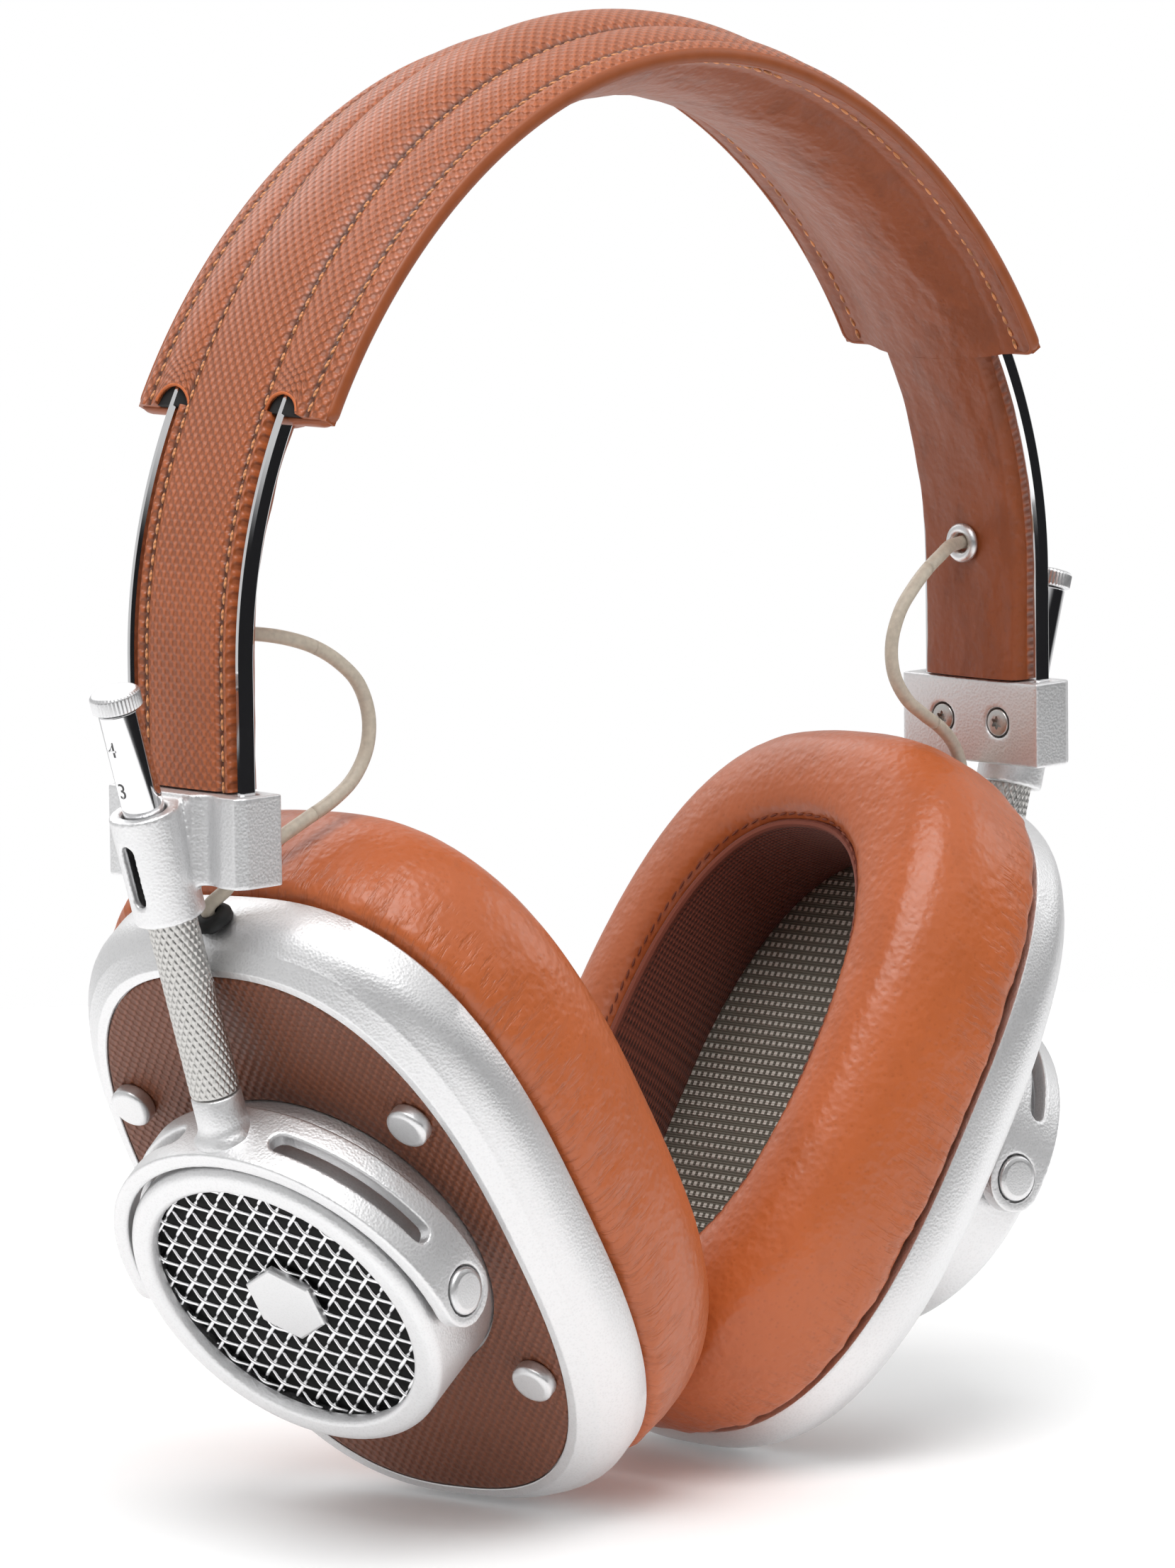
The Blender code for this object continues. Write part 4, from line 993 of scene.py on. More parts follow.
def grow(tree, paths, inputs):
    """Run a node tree on edge paths and return its plain mesh."""
    bm = bmesh.new()
    for path in paths:
        verts = [bm.verts.new(point) for point in path]
        for one, two in zip(verts, verts[1:]):
            bm.edges.new((one, two))
    mesh = bpy.data.meshes.new("paths")
    bm.to_mesh(mesh)
    bm.free()
    obj = bpy.data.objects.new("paths", mesh)
    bpy.context.scene.collection.objects.link(obj)
    modifier = obj.modifiers.new("grown", "NODES")
    modifier.node_group = tree
    for item in tree.interface.items_tree:
        if item.in_out == "INPUT" and item.name in inputs:
            modifier[item.identifier] = inputs[item.name]
    bpy.context.view_layer.update()
    made = bpy.data.meshes.new_from_object(obj.evaluated_get(bpy.context.evaluated_depsgraph_get()))
    bpy.data.objects.remove(obj, do_unlink=True)
    made.materials.clear()
    return made


def stitches(paths, pitch=None, thread=None):
    band = settings()[0]
    return grow(stitch_tree(), paths, {"Pitch": pitch or band.stitch_pitch, "Thread": thread or band.thread,
                                       "Finish": finish("sewing_thread")})


def edge_bead(outline, thick, wide, sides=10):
    """A small oval bead along a row of (point, normal, sideways) frames."""
    loops = []
    for point, normal, sideways in outline:
        loop = []
        for i in range(sides):
            angle = math.tau * i / sides
            loop.append(point + normal * (thick / 2 * math.sin(angle)) + sideways * (wide / 2 * math.cos(angle)))
        loops.append(loop)
    return loft("edge_bead", loops)


def flap_outline(front):
    """Edge of the wide band on one side, with its rounded corners, from flap end to flap end."""
    corner = 1.6 * MM
    ends = []
    first, last = FLAP_START, BAND_LENGTH - FLAP_START
    edge, inner = BAND_HALF_WIDTH, STRAP_HALF_WIDTH - 0.2 * MM
    track = [(first, inner + (edge - corner - inner) * i / 5) for i in range(5)]
    track += [(first + corner * (1 - math.cos(a)), edge - corner + corner * math.sin(a))
              for a in [math.pi / 2 * i / 6 for i in range(7)]]
    body = [(first + corner + (last - first - 2 * corner) * i / 110, edge) for i in range(1, 110)]
    track += body + [(first + last - s, y) for s, y in reversed(track)]
    for k, (s, y) in enumerate(track):
        before, after = track[max(k - 1, 0)], track[min(k + 1, len(track) - 1)]
        run = Vector((after[0] - before[0], after[1] - before[1])).normalized()
        place, normal, _rise = band_place(s)
        along = Vector((normal.z, 0.0, -normal.x)) * -1.0
        sideways = (along * -run.y + Vector((0.0, front, 0.0)) * run.x)
        point = place - normal * 0.95 * MM + Vector((0.0, front * y, 0.0))
        ends.append((point, normal, sideways))
    return ends


class HEADPHONES_OT_band(Operator):
    """Cover, lining, painted edges, seams and rails of the headband"""
    bl_idname = "headphones.band"
    bl_label = "Headband"

    def execute(self, context):
        last = BAND_LENGTH - FLAP_START
        shift = Matrix.Translation(ORIGIN)
        piece("cover_crown", band_skin("crown", FLAP_START, last, 190, BAND_HALF_WIDTH, True),
              "headband", ("coated_canvas", "painted_edge"), ("headband_cover",), shift, 40, "coated_canvas")
        piece("lining_crown", band_skin("under", FLAP_START, last, 190, BAND_HALF_WIDTH, False, 0.25 * MM),
              "headband", ("lambskin", "painted_edge"), ("headband_lining",), shift, 40, "lambskin")
        for side, first, end in (("left", 0.0, FLAP_START + 0.2 * MM),
                                 ("right", last - 0.2 * MM, BAND_LENGTH)):
            piece(f"{side}_cover_strap", band_skin("strap", first, end, 46, STRAP_HALF_WIDTH, True),
                  "headband", ("coated_canvas", "painted_edge"), (), shift, 40, "coated_canvas")
            piece(f"{side}_lining_strap",
                  band_skin("strap", first, end, 46, STRAP_HALF_WIDTH, False, 0.3 * MM),
                  "headband", ("lambskin", "painted_edge"), (), shift, 40, "lambskin")
        for name, front in (("front", -1), ("back", 1)):
            piece(f"edge_paint_{name}", edge_bead(flap_outline(front), 2.15 * MM, 1.0 * MM),
                  "headband", "painted_edge", (), shift, None).data.shade_smooth()
        rows = []
        for y in (-INNER_SEAM, INNER_SEAM):
            rows.append(path_on_band(y, 0.6 * MM, BAND_LENGTH - 0.6 * MM, 1.2 * MM, 0.02 * MM))
        for y in (-OUTER_SEAM, OUTER_SEAM):
            rows.append(path_on_band(y, FLAP_START + 1.6 * MM, last - 1.6 * MM, 1.2 * MM, 0.02 * MM))
            rows.append(path_on_band(y, FLAP_START + 1.6 * MM, last - 1.6 * MM, 1.2 * MM, 0.0, True))
        piece("band_stitches", stitches(rows), "headband", "sewing_thread", (), shift, None)
        for name, s in (("left", FLAP_START), ("right", last)):
            rims, mouths = bmesh.new(), bmesh.new()
            for y in (-RAIL_Y, RAIL_Y):
                self.mouth(rims, mouths, s, y)
            piece(f"{name}_mouth_rims", mesh_from(rims, "rims"), "headband", "raw_edge", (), shift, 60)
            # The black blocks in the rail openings are painted shade.
            piece(f"{name}_mouths", mesh_from(mouths, "mouths"), "headband", "dark_backing", (), shift, 60)
        for name, y in (("rail_front", -RAIL_Y), ("rail_back", RAIL_Y)):
            piece(name + "_polished", self.rail(y), "headband", "polished_steel", (name,), shift, 30,
                  "polished_steel")
        return {"FINISHED"}

    @staticmethod
    def mouth(rims, mouths, s, y):
        """Arched opening in a flap's end where a rail goes in: a raw rim round a black block, painted shade that
        stands for the dark hollow.
        """
        inward = 1.0 if s < BAND_LENGTH / 2 else -1.0
        # A black block just under the top surface fills the notch: painted shade in the hollow where the rail goes in.
        rows = []
        for depth in (0.1 * MM, 1.6 * MM, 3.3 * MM):
            place, normal, rise = band_place(s + inward * depth)
            row = []
            for i in range(9):
                across = y + 3.2 * MM * (i / 4 - 1)
                row.append(place + normal * (top_height(across, rise) - 0.75 * MM) + Vector((0.0, across, 0.0)))
            row += [place - normal * 0.9 * MM + Vector((0.0, y + sign * 3.2 * MM, 0.0)) for sign in (1, -1)]
            rows.append([mouths.verts.new(point) for point in row])
        mouths.faces.new(rows[0])
        mouths.faces.new(rows[-1])
        for one, two in zip(rows, rows[1:]):
            for i in range(11):
                j = (i + 1) % 11
                mouths.faces.new((one[i], one[j], two[j], two[i]))
        points = []
        for k in range(25):
            across = y - 3.05 * MM * math.cos(math.pi * k / 24)
            place, normal, rise = band_place(s + inward * (notch(across) - 0.05 * MM))
            points.append((place + normal * (top_height(across, rise) - 0.2 * MM) + Vector((0.0, across, 0.0)),
                           normal))
        rings = []
        for k, (point, normal) in enumerate(points):
            run = (points[min(k + 1, 24)][0] - points[max(k - 1, 0)][0]).normalized()
            sideways = run.cross(normal).normalized()
            rings.append([rims.verts.new(point + (normal * math.sin(a) + sideways * math.cos(a)) * 0.24 * MM)
                          for a in [math.tau * i / 8 for i in range(8)]])
        for one, two in zip(rings, rings[1:]):
            for i in range(8):
                j = (i + 1) % 8
                rims.faces.new((one[i], one[j], two[j], two[i]))
        rims.faces.new(rings[0])
        rims.faces.new(rings[-1])

    @staticmethod
    def rail(y):
        loops = []
        bottom = -10.4 * MM
        for k in range(221):
            s = bottom + (BAND_LENGTH - 2 * bottom) * k / 220
            place, normal, _rise = band_place(s)
            loop = []
            for side, out in ((-0.6, -0.95), (-0.25, -1.4), (0.25, -1.4), (0.6, -0.95),
                              (0.6, 0.95), (0.25, 1.4), (-0.25, 1.4), (-0.6, 0.95)):
                loop.append(place + normal * (out * MM) + Vector((0.0, y + side * MM, 0.0)))
            loops.append(loop)
        return loft("rail", loops)


# ------------------------------------------------------------ clamps, rods and yokes

class HEADPHONES_OT_clamps(Operator):
    """Clamps that hold the rails and guide the rods, with their screws and the cable eyelets"""
    bl_idname = "headphones.clamps"
    bl_label = "Clamps"

    def execute(self, context):
        for side, sign in SIDES:
            self.clamp(side, sign)
            self.screws(side, sign)
            place = side_frame(sign) @ Matrix.Translation((74.7 * MM, 0.0, EYELET_HEIGHT)) @ ALONG_X
            ring = [(1.35 * MM, 1.6 * MM), (1.8 * MM, 1.6 * MM), (1.8 * MM, 0.1 * MM), (2.9 * MM, 0.1 * MM),
                    (2.9 * MM, -0.25 * MM), (2.6 * MM, -0.62 * MM), (2.2 * MM, -0.8 * MM),
                    (1.75 * MM, -0.72 * MM), (1.45 * MM, -0.4 * MM), (1.35 * MM, 0.2 * MM)]
            piece(f"{side}_eyelet_ring", lathe("eyelet", ring, 48), "headband", "turned_face",
                  (f"{side}_eyelet",), place, 60, "polished_steel")
        return {"FINISHED"}

    @staticmethod
    def clamp(side, sign):
        to_rod = Matrix.Translation((ROD_X, 0.0, ROD_HEIGHT)) @ Matrix.Rotation(ROD_LEAN, 4, "Y")
        outline = [(76.0, 13.2), (76.0, -13.2)]
        flank = [(82.4, -13.2), (84.0, -12.4), (84.0, -9.6), (83.7, -8.4), (83.1, -7.3), (82.9, -6.2),
                 (83.4, -5.2), (84.6, -4.6)]
        outline += flank + [(x, -y) for x, y in reversed(flank)]
        loops = [[(x * MM, y * MM, z) for x, y in outline] for z in (94.2 * MM, 106.6 * MM)]
        block = loft("clamp", loops)
        guide = lathe("guide", [(0.0, 15.5 * MM), (4.9 * MM, 15.5 * MM), (4.9 * MM, 0.0), (0.0, 0.0)], 72)
        guide.transform(to_rod)
        bore = lathe("bore", [(0.0, 19 * MM), (3.15 * MM, 19 * MM), (3.15 * MM, 12.5 * MM),
                              (3.7 * MM, 12.5 * MM), (3.7 * MM, -4 * MM), (0.0, -4 * MM)], 72)
        bore.transform(to_rod)
        cuts = [("UNION", guide), ("DIFFERENCE", bore)]
        half, low, high = 1.15 * MM, 3.0 * MM, 12.0 * MM
        slot = [[(x, half * c, (low + half if s < 0 else high - half) + half * s)
                 for c, s in [(math.cos(math.tau * (i + 0.5) / 24), math.sin(math.tau * (i + 0.5) / 24))
                              for i in range(24)]] for x in (3.3 * MM, 7.0 * MM)]
        window = loft("window", slot)
        window.transform(to_rod)
        cuts.append(("DIFFERENCE", window))
        for y in (-RAIL_Y, RAIL_Y):
            cuts.append(("DIFFERENCE", box_mesh((78.3 * MM, y - 0.9 * MM, 95.9 * MM),
                                                (81.7 * MM, y + 0.9 * MM, 109 * MM))))
            seat = lathe("seat", [(0.0, 1.25 * MM), (2.25 * MM, 1.25 * MM), (2.25 * MM, -1 * MM),
                                  (0.0, -1 * MM)], 40)
            seat.transform(Matrix.Translation((76.0 * MM, math.copysign(5.4 * MM, y), 100.4 * MM)) @ ALONG_X)
            cuts.append(("DIFFERENCE", seat))
        mesh = carve(block, cuts, 12)
        mesh.materials.clear()
        piece(f"{side}_rail_clamp", mesh, "headband", "satin_aluminium", (f"{side}_clamp",),
              side_frame(sign), 70, "satin_aluminium")

    @staticmethod
    def screws(side, sign):
        for y in (-5.4 * MM, 5.4 * MM):
            place = side_frame(sign) @ Matrix.Translation((76.0 * MM, y, 100.4 * MM)) @ ALONG_X
            head = rounded([(0.0, 1.0 * MM), (2.0 * MM, 1.0 * MM), (2.0 * MM, 0.05 * MM), (1.2 * MM, -0.12 * MM),
                            (0.0, -0.12 * MM)], 0.25 * MM)
            blank = lathe("screw", head, 48)
            star = lathe("star", [(0.0, 0.7 * MM), (1.0 * MM, 0.7 * MM), (1.0 * MM, -1 * MM), (0.0, -1 * MM)], 48,
                         lambda a, r, z: 0.82 * MM + 0.2 * MM * math.cos(6 * a))
            mesh = carve(blank, [("DIFFERENCE", star)])
            mesh.materials.clear()
            end = end_name(side, y)
            piece(f"{side}_clamp_screw_{end}_head", mesh, "headband", "knurled_steel",
                  (f"{side}_clamp_screw_{end}",), place, 30, "polished_steel")


def diamonds(turns, length, pitch, depth):
    """Radius change of a crossed knurl."""
    def change(angle, radius, z):
        one = abs(math.sin((turns * angle + math.tau * z / pitch) / 2))
        two = abs(math.sin((turns * angle - math.tau * z / pitch) / 2))
        fade = min(1.0, max(0.0, (length / 2 - abs(z)) / (0.5 * MM)))
        return radius + depth * fade * (min(1.0, 1.5 * min(one, two)) - 0.6)
    return change


class HEADPHONES_OT_rods(Operator):
    """Numbered sliding rods, their caps and the knurled sleeves"""
    bl_idname = "headphones.rods"
    bl_label = "Rods"

    def execute(self, context):
        cup = settings()[1]
        for side, sign in SIDES:
            body, place = f"{side}_slider", rod_frame(sign)
            rod = [(0.0, CAP_BOTTOM - 0.1 * MM), (ROD_RADIUS, CAP_BOTTOM - 0.1 * MM), (ROD_RADIUS, 1.2 * MM),
                   (2.0 * MM, 1.2 * MM), (2.0 * MM, -30 * MM), (0.0, -30 * MM)]
            piece(f"{side}_numbered_rod", lathe("rod", rounded(rod, 0.2 * MM), 64), body, "polished_steel",
                  (f"{side}_rod",), place, 40, "polished_steel")
            ridge = lambda a, r, z: r - (0.16 * MM * (0.5 + 0.5 * math.cos(40 * a)) if r > 3.2 * MM else 0.0)
            cap = rounded([(0.0, 32.7 * MM), (3.05 * MM, 32.7 * MM), (3.5 * MM, 32.3 * MM),
                           (3.5 * MM, 30.3 * MM), (2.9 * MM, 30.05 * MM), (0.0, 30.05 * MM)], 0.2 * MM, 3)
            piece(f"{side}_cap", lathe("cap", cap, 160, ridge), body, "turned_face",
                  (f"{side}_rod_cap",), place, 50, "polished_steel")
            length = SLEEVE_TOP - SLEEVE_BOTTOM
            steps = 190
            profile = [(0.0, length / 2), (2.9 * MM, length / 2)]
            profile += [(SLEEVE_RADIUS - 0.04 * MM, length * (0.5 - (i + 0.5) / steps)) for i in range(steps)]
            profile += [(2.9 * MM, -length / 2), (0.0, -length / 2)]
            change = diamonds(cup.knurls, length, 1.9 * MM, 0.22 * MM)
            sleeve = lathe("sleeve", profile, 198, lambda a, r, z: change(a, r, z) if r > 3 * MM else r)
            middle = place @ Matrix.Translation((0.0, 0.0, (SLEEVE_TOP + SLEEVE_BOTTOM) / 2))
            piece(f"{side}_sleeve", sleeve, body, "knurled_steel", (f"{side}_knurled_sleeve",), middle, None,
                  "polished_steel").data.shade_smooth()
            self.scale(side, sign, body, place)
        return {"FINISHED"}

    @staticmethod
    def scale(side, sign, body, place):
        """Numerals up the outer side of the rod, wrapped onto it."""
        parts = bmesh.new()
        for number, height in (("4", 25.2 * MM), ("3", 19.2 * MM), ("2", 13.2 * MM), ("1", 7.2 * MM)):
            text = bpy.data.curves.new("numeral", "FONT")
            text.body = number
            text.size = 3.1 * MM
            text.align_x = "CENTER"
            text.align_y = "CENTER"
            obj = bpy.data.objects.new("numeral", text)
            bpy.context.scene.collection.objects.link(obj)
            bpy.context.view_layer.update()
            flat = bpy.data.meshes.new_from_object(obj.evaluated_get(bpy.context.evaluated_depsgraph_get()))
            for vertex in flat.vertices:
                angle = vertex.co.x / ROD_RADIUS
                radius = ROD_RADIUS + 0.03 * MM
                rise = vertex.co.y + height
                vertex.co = (radius * math.cos(angle), radius * math.sin(angle), rise)
            parts.from_mesh(flat)
            bpy.data.objects.remove(obj, do_unlink=True)
        mesh = mesh_from(parts, "numerals", False)
        mesh.materials.clear()
        piece(f"{side}_rod_numerals", mesh, body, "scale_ink", (), place, None)


def yoke_band(inner, outer, stations):
    loops = []
    for (end, value), half in stations:
        loop = []
        for radius, x in ((inner, -half), (inner, half), (outer, half), (outer, -half)):
            if end == "arc":
                loop.append((x, radius * math.sin(value), radius * math.cos(value)))
            else:
                loop.append((x, radius * end, -value))
        loops.append(loop)
    return loft("yoke", loops)


class HEADPHONES_OT_yokes(Operator):
    """Slotted half-ring yokes with their collars and pivot buttons"""
    bl_idname = "headphones.yokes"
    bl_label = "Yokes"

    def execute(self, context):
        middle = (YOKE_INNER + YOKE_OUTER) / 2
        lean_angle = math.asin(PIN_INSET / middle)
        lean = Matrix.Translation((-PIN_INSET, 0.0, -PIN_DROP)) @ Matrix.Rotation(lean_angle, 4, "Y")
        half = YOKE_HALF_WIDTH
        drops = [math.radians(88 - 6.5 * i) for i in range(13)]
        ends = [(half * math.sin(a), half * math.cos(a)) for a in drops]
        arc = [(("arc", math.radians(-90 + 180 * i / 96)), half) for i in range(97)]
        stations = ([((-1, drop), wide) for drop, wide in ends] + arc
                    + [((1, drop), wide) for drop, wide in reversed(ends)])
        for side, sign in SIDES:
            band = yoke_band(YOKE_INNER, YOKE_OUTER, stations)
            cuts = []
            for y in (-1, 1):
                turn = 1.5 * MM / middle
                first, last = math.radians(16.0), math.radians(70.0)
                angles = [math.radians(a) for a in (10, 25, 40, 55, 70)]
                spots = [(first + turn * (1 - math.cos(a)), 1.5 * MM * math.sin(a)) for a in angles]
                spots += [(first + turn + (last - first - 2 * turn) * i / 30, 1.5 * MM) for i in range(31)]
                spots += [(last - turn * (1 - math.cos(a)), 1.5 * MM * math.sin(a)) for a in reversed(angles)]
                cuts.append(("DIFFERENCE", yoke_band(YOKE_INNER - 2 * MM, YOKE_OUTER + 2 * MM,
                                                     [(("arc", y * a), w) for a, w in spots])))
            eye = lathe("eye", [(0.0, 31 * MM), (3.55 * MM, 31 * MM), (3.55 * MM, -31 * MM), (0.0, -31 * MM)], 48)
            eye.transform(ALONG_Y)
            cuts.append(("DIFFERENCE", eye))
            mesh = carve(band, cuts, 7)
            mesh.materials.clear()
            piece(f"{side}_half_ring", mesh, f"{side}_yoke", "satin_aluminium", (f"{side}_yoke",),
                  yoke_frame(sign) @ lean, 70, "satin_aluminium")
            foot = -PIN_DROP + middle * math.cos(lean_angle) - 0.9 * MM
            top = SLEEVE_BOTTOM - 0.25 * MM
            collar = [(0.0, top), (3.3 * MM, top), (3.5 * MM, top - 0.2 * MM), (3.5 * MM, foot + 3.4 * MM),
                      (3.62 * MM, foot + 2.7 * MM), (3.95 * MM, foot + 2.0 * MM), (4.5 * MM, foot + 1.4 * MM),
                      (4.5 * MM, foot + 0.3 * MM), (0.0, foot + 0.3 * MM)]
            piece(f"{side}_collar", lathe("collar", collar, 72), f"{side}_yoke", "satin_aluminium", (),
                  yoke_frame(sign), 50)
            button = rounded([(0.0, 28.35 * MM), (2.5 * MM, 28.35 * MM), (3.1 * MM, 28.15 * MM),
                              (3.3 * MM, 27.85 * MM), (3.3 * MM, 25.85 * MM), (1.6 * MM, 25.85 * MM),
                              (1.6 * MM, 22.8 * MM), (0.0, 22.8 * MM)], 0.15 * MM, 3)
            for y in (-1, 1):
                place = (yoke_frame(sign) @ Matrix.Translation((-PIN_INSET, 0.0, -PIN_DROP))
                         @ Matrix.Rotation(-y * math.pi / 2, 4, "X"))
                end = end_name(side, y)
                piece(f"{side}_pivot_button_{end}", lathe("button", button, 64), f"{side}_yoke",
                      "turned_face", (f"{side}_pivot_{end}",), place, 40, "satin_aluminium")
        return {"FINISHED"}


# ------------------------------------------------------------ cups

class HEADPHONES_OT_cups(Operator):
    """Cup shells, leather plates, rivets, round housings, badges and the parts inside"""
    bl_idname = "headphones.cups"
    bl_label = "Cups"

    def execute(self, context):
        for side, sign in SIDES:
            body, place = f"{side}_cup", cup_frame(sign)
            self.shell(side, body, place)
            self.plate(side, body, place)
            self.housing(side, body, place)
            self.small_pieces(side, body, place)
        inside = {"baffle": "black_polymer", "driver": "magnet_steel", "diaphragm": "driver_film",
                  "terminal_board": "board_green"}
        for side, _sign in SIDES:
            for node, look in inside.items():
                frame["nodes"][f"{side}_{node}"].data.materials.clear()
                frame["nodes"][f"{side}_{node}"].data.materials.append(finish(look))
        frame["nodes"]["headband_foam"].data.materials.clear()
        frame["nodes"]["headband_foam"].data.materials.append(finish("foam"))
        return {"FINISHED"}

    @staticmethod
    def shell(side, body, place):
        loops = [oval_loop(22.3 * MM, 22.3 * MM, h, squareness=2.0) for h in (-2.4 * MM, -0.8 * MM)]
        walls = [(5.3, -0.8), (5.3, -0.12), (5.2, 0.0), (4.25, 0.0), (4.12, -0.02), (4.02, -0.1),
                 (3.9, -0.22), (2.2, -1.9), (2.05, -2.05), (1.96, -2.2), (1.85, -2.42), (1.4, -3.1),
                 (0.9, -3.95), (0.5, -4.8), (0.2, -5.7), (0.03, -6.7), (0.0, -7.7), (0.0, -10.7),
                 (0.12, -10.95), (0.4, -11.05), (2.0, -11.05), (2.0, -5.4), (5.6, -2.4)]
        loops += [cup_loop(inset * MM, height * MM) for inset, height in walls]
        piece(f"{side}_shell", loft("shell", loops, ring=True), body, "satin_aluminium",
              (f"{side}_cup_shell",), place, 30, "satin_aluminium")

    @staticmethod
    def plate(side, body, place):
        """Leather plate: a ring from the outline in to the housing, wrapped slightly down at its rim."""
        stations = [(0.0, -0.75), (0.0, -0.28), (0.12, -0.12), (0.35, -0.04), (0.8, 0.0)]
        loops = [cup_loop(INLAY_INSET + (0.12 + inset) * MM, height * MM) for inset, height in stations]
        for share in (0.25, 0.5, 0.75):
            rim, hole = cup_loop(INLAY_INSET + 1.0 * MM, 0.0), oval_loop(24.9 * MM, 24.9 * MM, 0.0, squareness=2.0)
            loops.append([Vector(a).lerp(Vector(b), share) for a, b in zip(rim, hole)])
        loops.append(oval_loop(24.9 * MM, 24.9 * MM, 0.0, squareness=2.0))
        loops.append(oval_loop(24.9 * MM, 24.9 * MM, -0.75 * MM, squareness=2.0))

        def cloth(row, item):
            point = loops[row % len(loops)][item % 144]
            return point[2], point[1]

        piece(f"{side}_plate", loft("plate", loops, ring=True, cloth=cloth), body, "plate_canvas",
              (f"{side}_inlay",), place, 40, "coated_canvas")

    @staticmethod
    def housing(side, body, place):
        radius, height = HOUSING_RADIUS, HOUSING_HEIGHT
        steps = 8
        profile = [(MESH_RADIUS + 0.15 * MM, height - 0.35 * MM), (MESH_RADIUS + 0.5 * MM, height - 0.05 * MM),
                   (MESH_RADIUS + 0.8 * MM, height)]
        profile += [(radius - 1.7 * MM * (1 - math.sin(a)), height - 1.7 * MM * (1 - math.cos(a)))
                    for a in [math.pi / 2 * i / steps for i in range(steps + 1)]]
        profile += [(radius, h * MM) for h in (12.4, 11.4, 10.8, 10.2, 9.7, 9.2, 7.5, 5.8, 4.6, 4.2, 3.7, 3.2,
                                               2.6, 2.0, 1.2, 0.4, -0.5)]
        profile += [(22.0 * MM, -0.5 * MM), (22.0 * MM, 12.0 * MM), (MESH_RADIUS, 13.2 * MM),
                    (MESH_RADIUS, height - 0.6 * MM)]

        def waist(angle, r, z):
            """The upper half is drawn in where the yoke lies around it; -X of the turned piece is up."""
            if r < radius - 0.01 * MM or z > 12.0 * MM:
                return r
            low = min(max((z - 2.4 * MM) / (1.6 * MM), 0.0), 1.0)
            high = min(max((11.2 * MM - z) / (1.6 * MM), 0.0), 1.0)
            around = min(max((-math.cos(angle) - 0.16) / 0.22, 0.0), 1.0)
            around = around * around * (3 - 2 * around)
            return r - 1.4 * MM * low * high * around

        piece(f"{side}_housing", lathe("housing", profile, 192, waist), body, "satin_aluminium",
              (f"{side}_round_housing",), place @ on_cup(0.0), 38, "satin_aluminium")
        backing = rounded([(0.0, MESH_HEIGHT - 1.3 * MM), (21.6 * MM, MESH_HEIGHT - 1.3 * MM),
                           (21.6 * MM, MESH_HEIGHT - 1.8 * MM), (0.0, MESH_HEIGHT - 1.8 * MM)], 0.1 * MM, 1)
        piece(f"{side}_grille_backing", lathe("backing", backing, 72), body, "dark_backing",
              (), place @ on_cup(0.0), 40)

    @staticmethod
    def small_pieces(side, body, place):
        cup = settings()[1]
        reach, lift = MESH_RADIUS + 0.4 * MM, MESH_HEIGHT - 0.45 * MM
        crimp = cup.wire * 0.62
        paths = []
        for slope in (1, -1):
            along = Vector((0.0, 1.0, slope)).normalized()
            across = Vector((0.0, -slope, 1.0)).normalized()
            count = int(reach / cup.weave)
            for i in range(-count, count + 1):
                offset = i * cup.weave
                half = math.sqrt(max(reach * reach - offset * offset, 0.0))
                steps = max(4, int(2 * half / cup.weave * 8))
                path = []
                for k in range(steps + 1):
                    run = -half + 2 * half * k / steps
                    wave = slope * crimp * math.cos(math.pi * (run / cup.weave + i))
                    path.append(along * run + across * offset + Vector((lift + wave - PIN_HEIGHT, 0.0, 0.0)))
                paths.append(path)
        wires = grow(wire_tree(), paths, {"Thickness": cup.wire, "Finish": finish("woven_wire")})
        piece(f"{side}_woven_grille", wires, body, "woven_wire", (f"{side}_mesh_grille",), place, None,
              "woven_wire")
        badge = rounded([(0.0, 1.25 * MM), (5.9 * MM, 1.25 * MM), (6.3 * MM, 0.95 * MM), (6.3 * MM, 0.0),
                         (0.0, 0.0)], 0.12 * MM, 2)
        hexagon = lathe("badge", badge, 6)
        piece(f"{side}_badge", hexagon, body, "turned_face", (f"{side}_hex_badge",),
              place @ on_cup(MESH_HEIGHT + 0.1 * MM), 25, "satin_aluminium")
        dome = rounded([(0.0, 2.45 * MM), (2.5 * MM, 2.4 * MM), (3.1 * MM, 1.95 * MM), (3.1 * MM, 0.05 * MM),
                        (1.2 * MM, 0.05 * MM), (1.2 * MM, -2.6 * MM), (0.0, -2.6 * MM)], 0.45 * MM, 5)
        for y, z in RIVETS:
            name = f"{end_name(side, y)}_{'top' if z > 0 else 'bottom'}"
            piece(f"{side}_rivet_head_{name}", lathe("rivet", dome, 48), body, "turned_face",
                  (f"{side}_rivet_{name}",), place @ on_cup(0.0, z, y), 50, "satin_aluminium")
        grommet = [(1.12 * MM, 1.5 * MM), (1.5 * MM, 1.62 * MM), (2.0 * MM, 1.5 * MM), (2.6 * MM, 1.15 * MM),
                   (2.9 * MM, 0.7 * MM), (2.9 * MM, 0.05 * MM), (1.7 * MM, 0.05 * MM), (1.7 * MM, -2.2 * MM),
                   (1.12 * MM, -2.2 * MM)]
        top = Matrix.Translation((-GROMMET_BACK, 0.0, CUP_HALF_HEIGHT))
        piece(f"{side}_grommet", lathe("grommet", grommet, 48), body, "black_rubber",
              (f"{side}_cable_grommet",), place @ top, 40, "black_rubber")


# ------------------------------------------------------------ pads

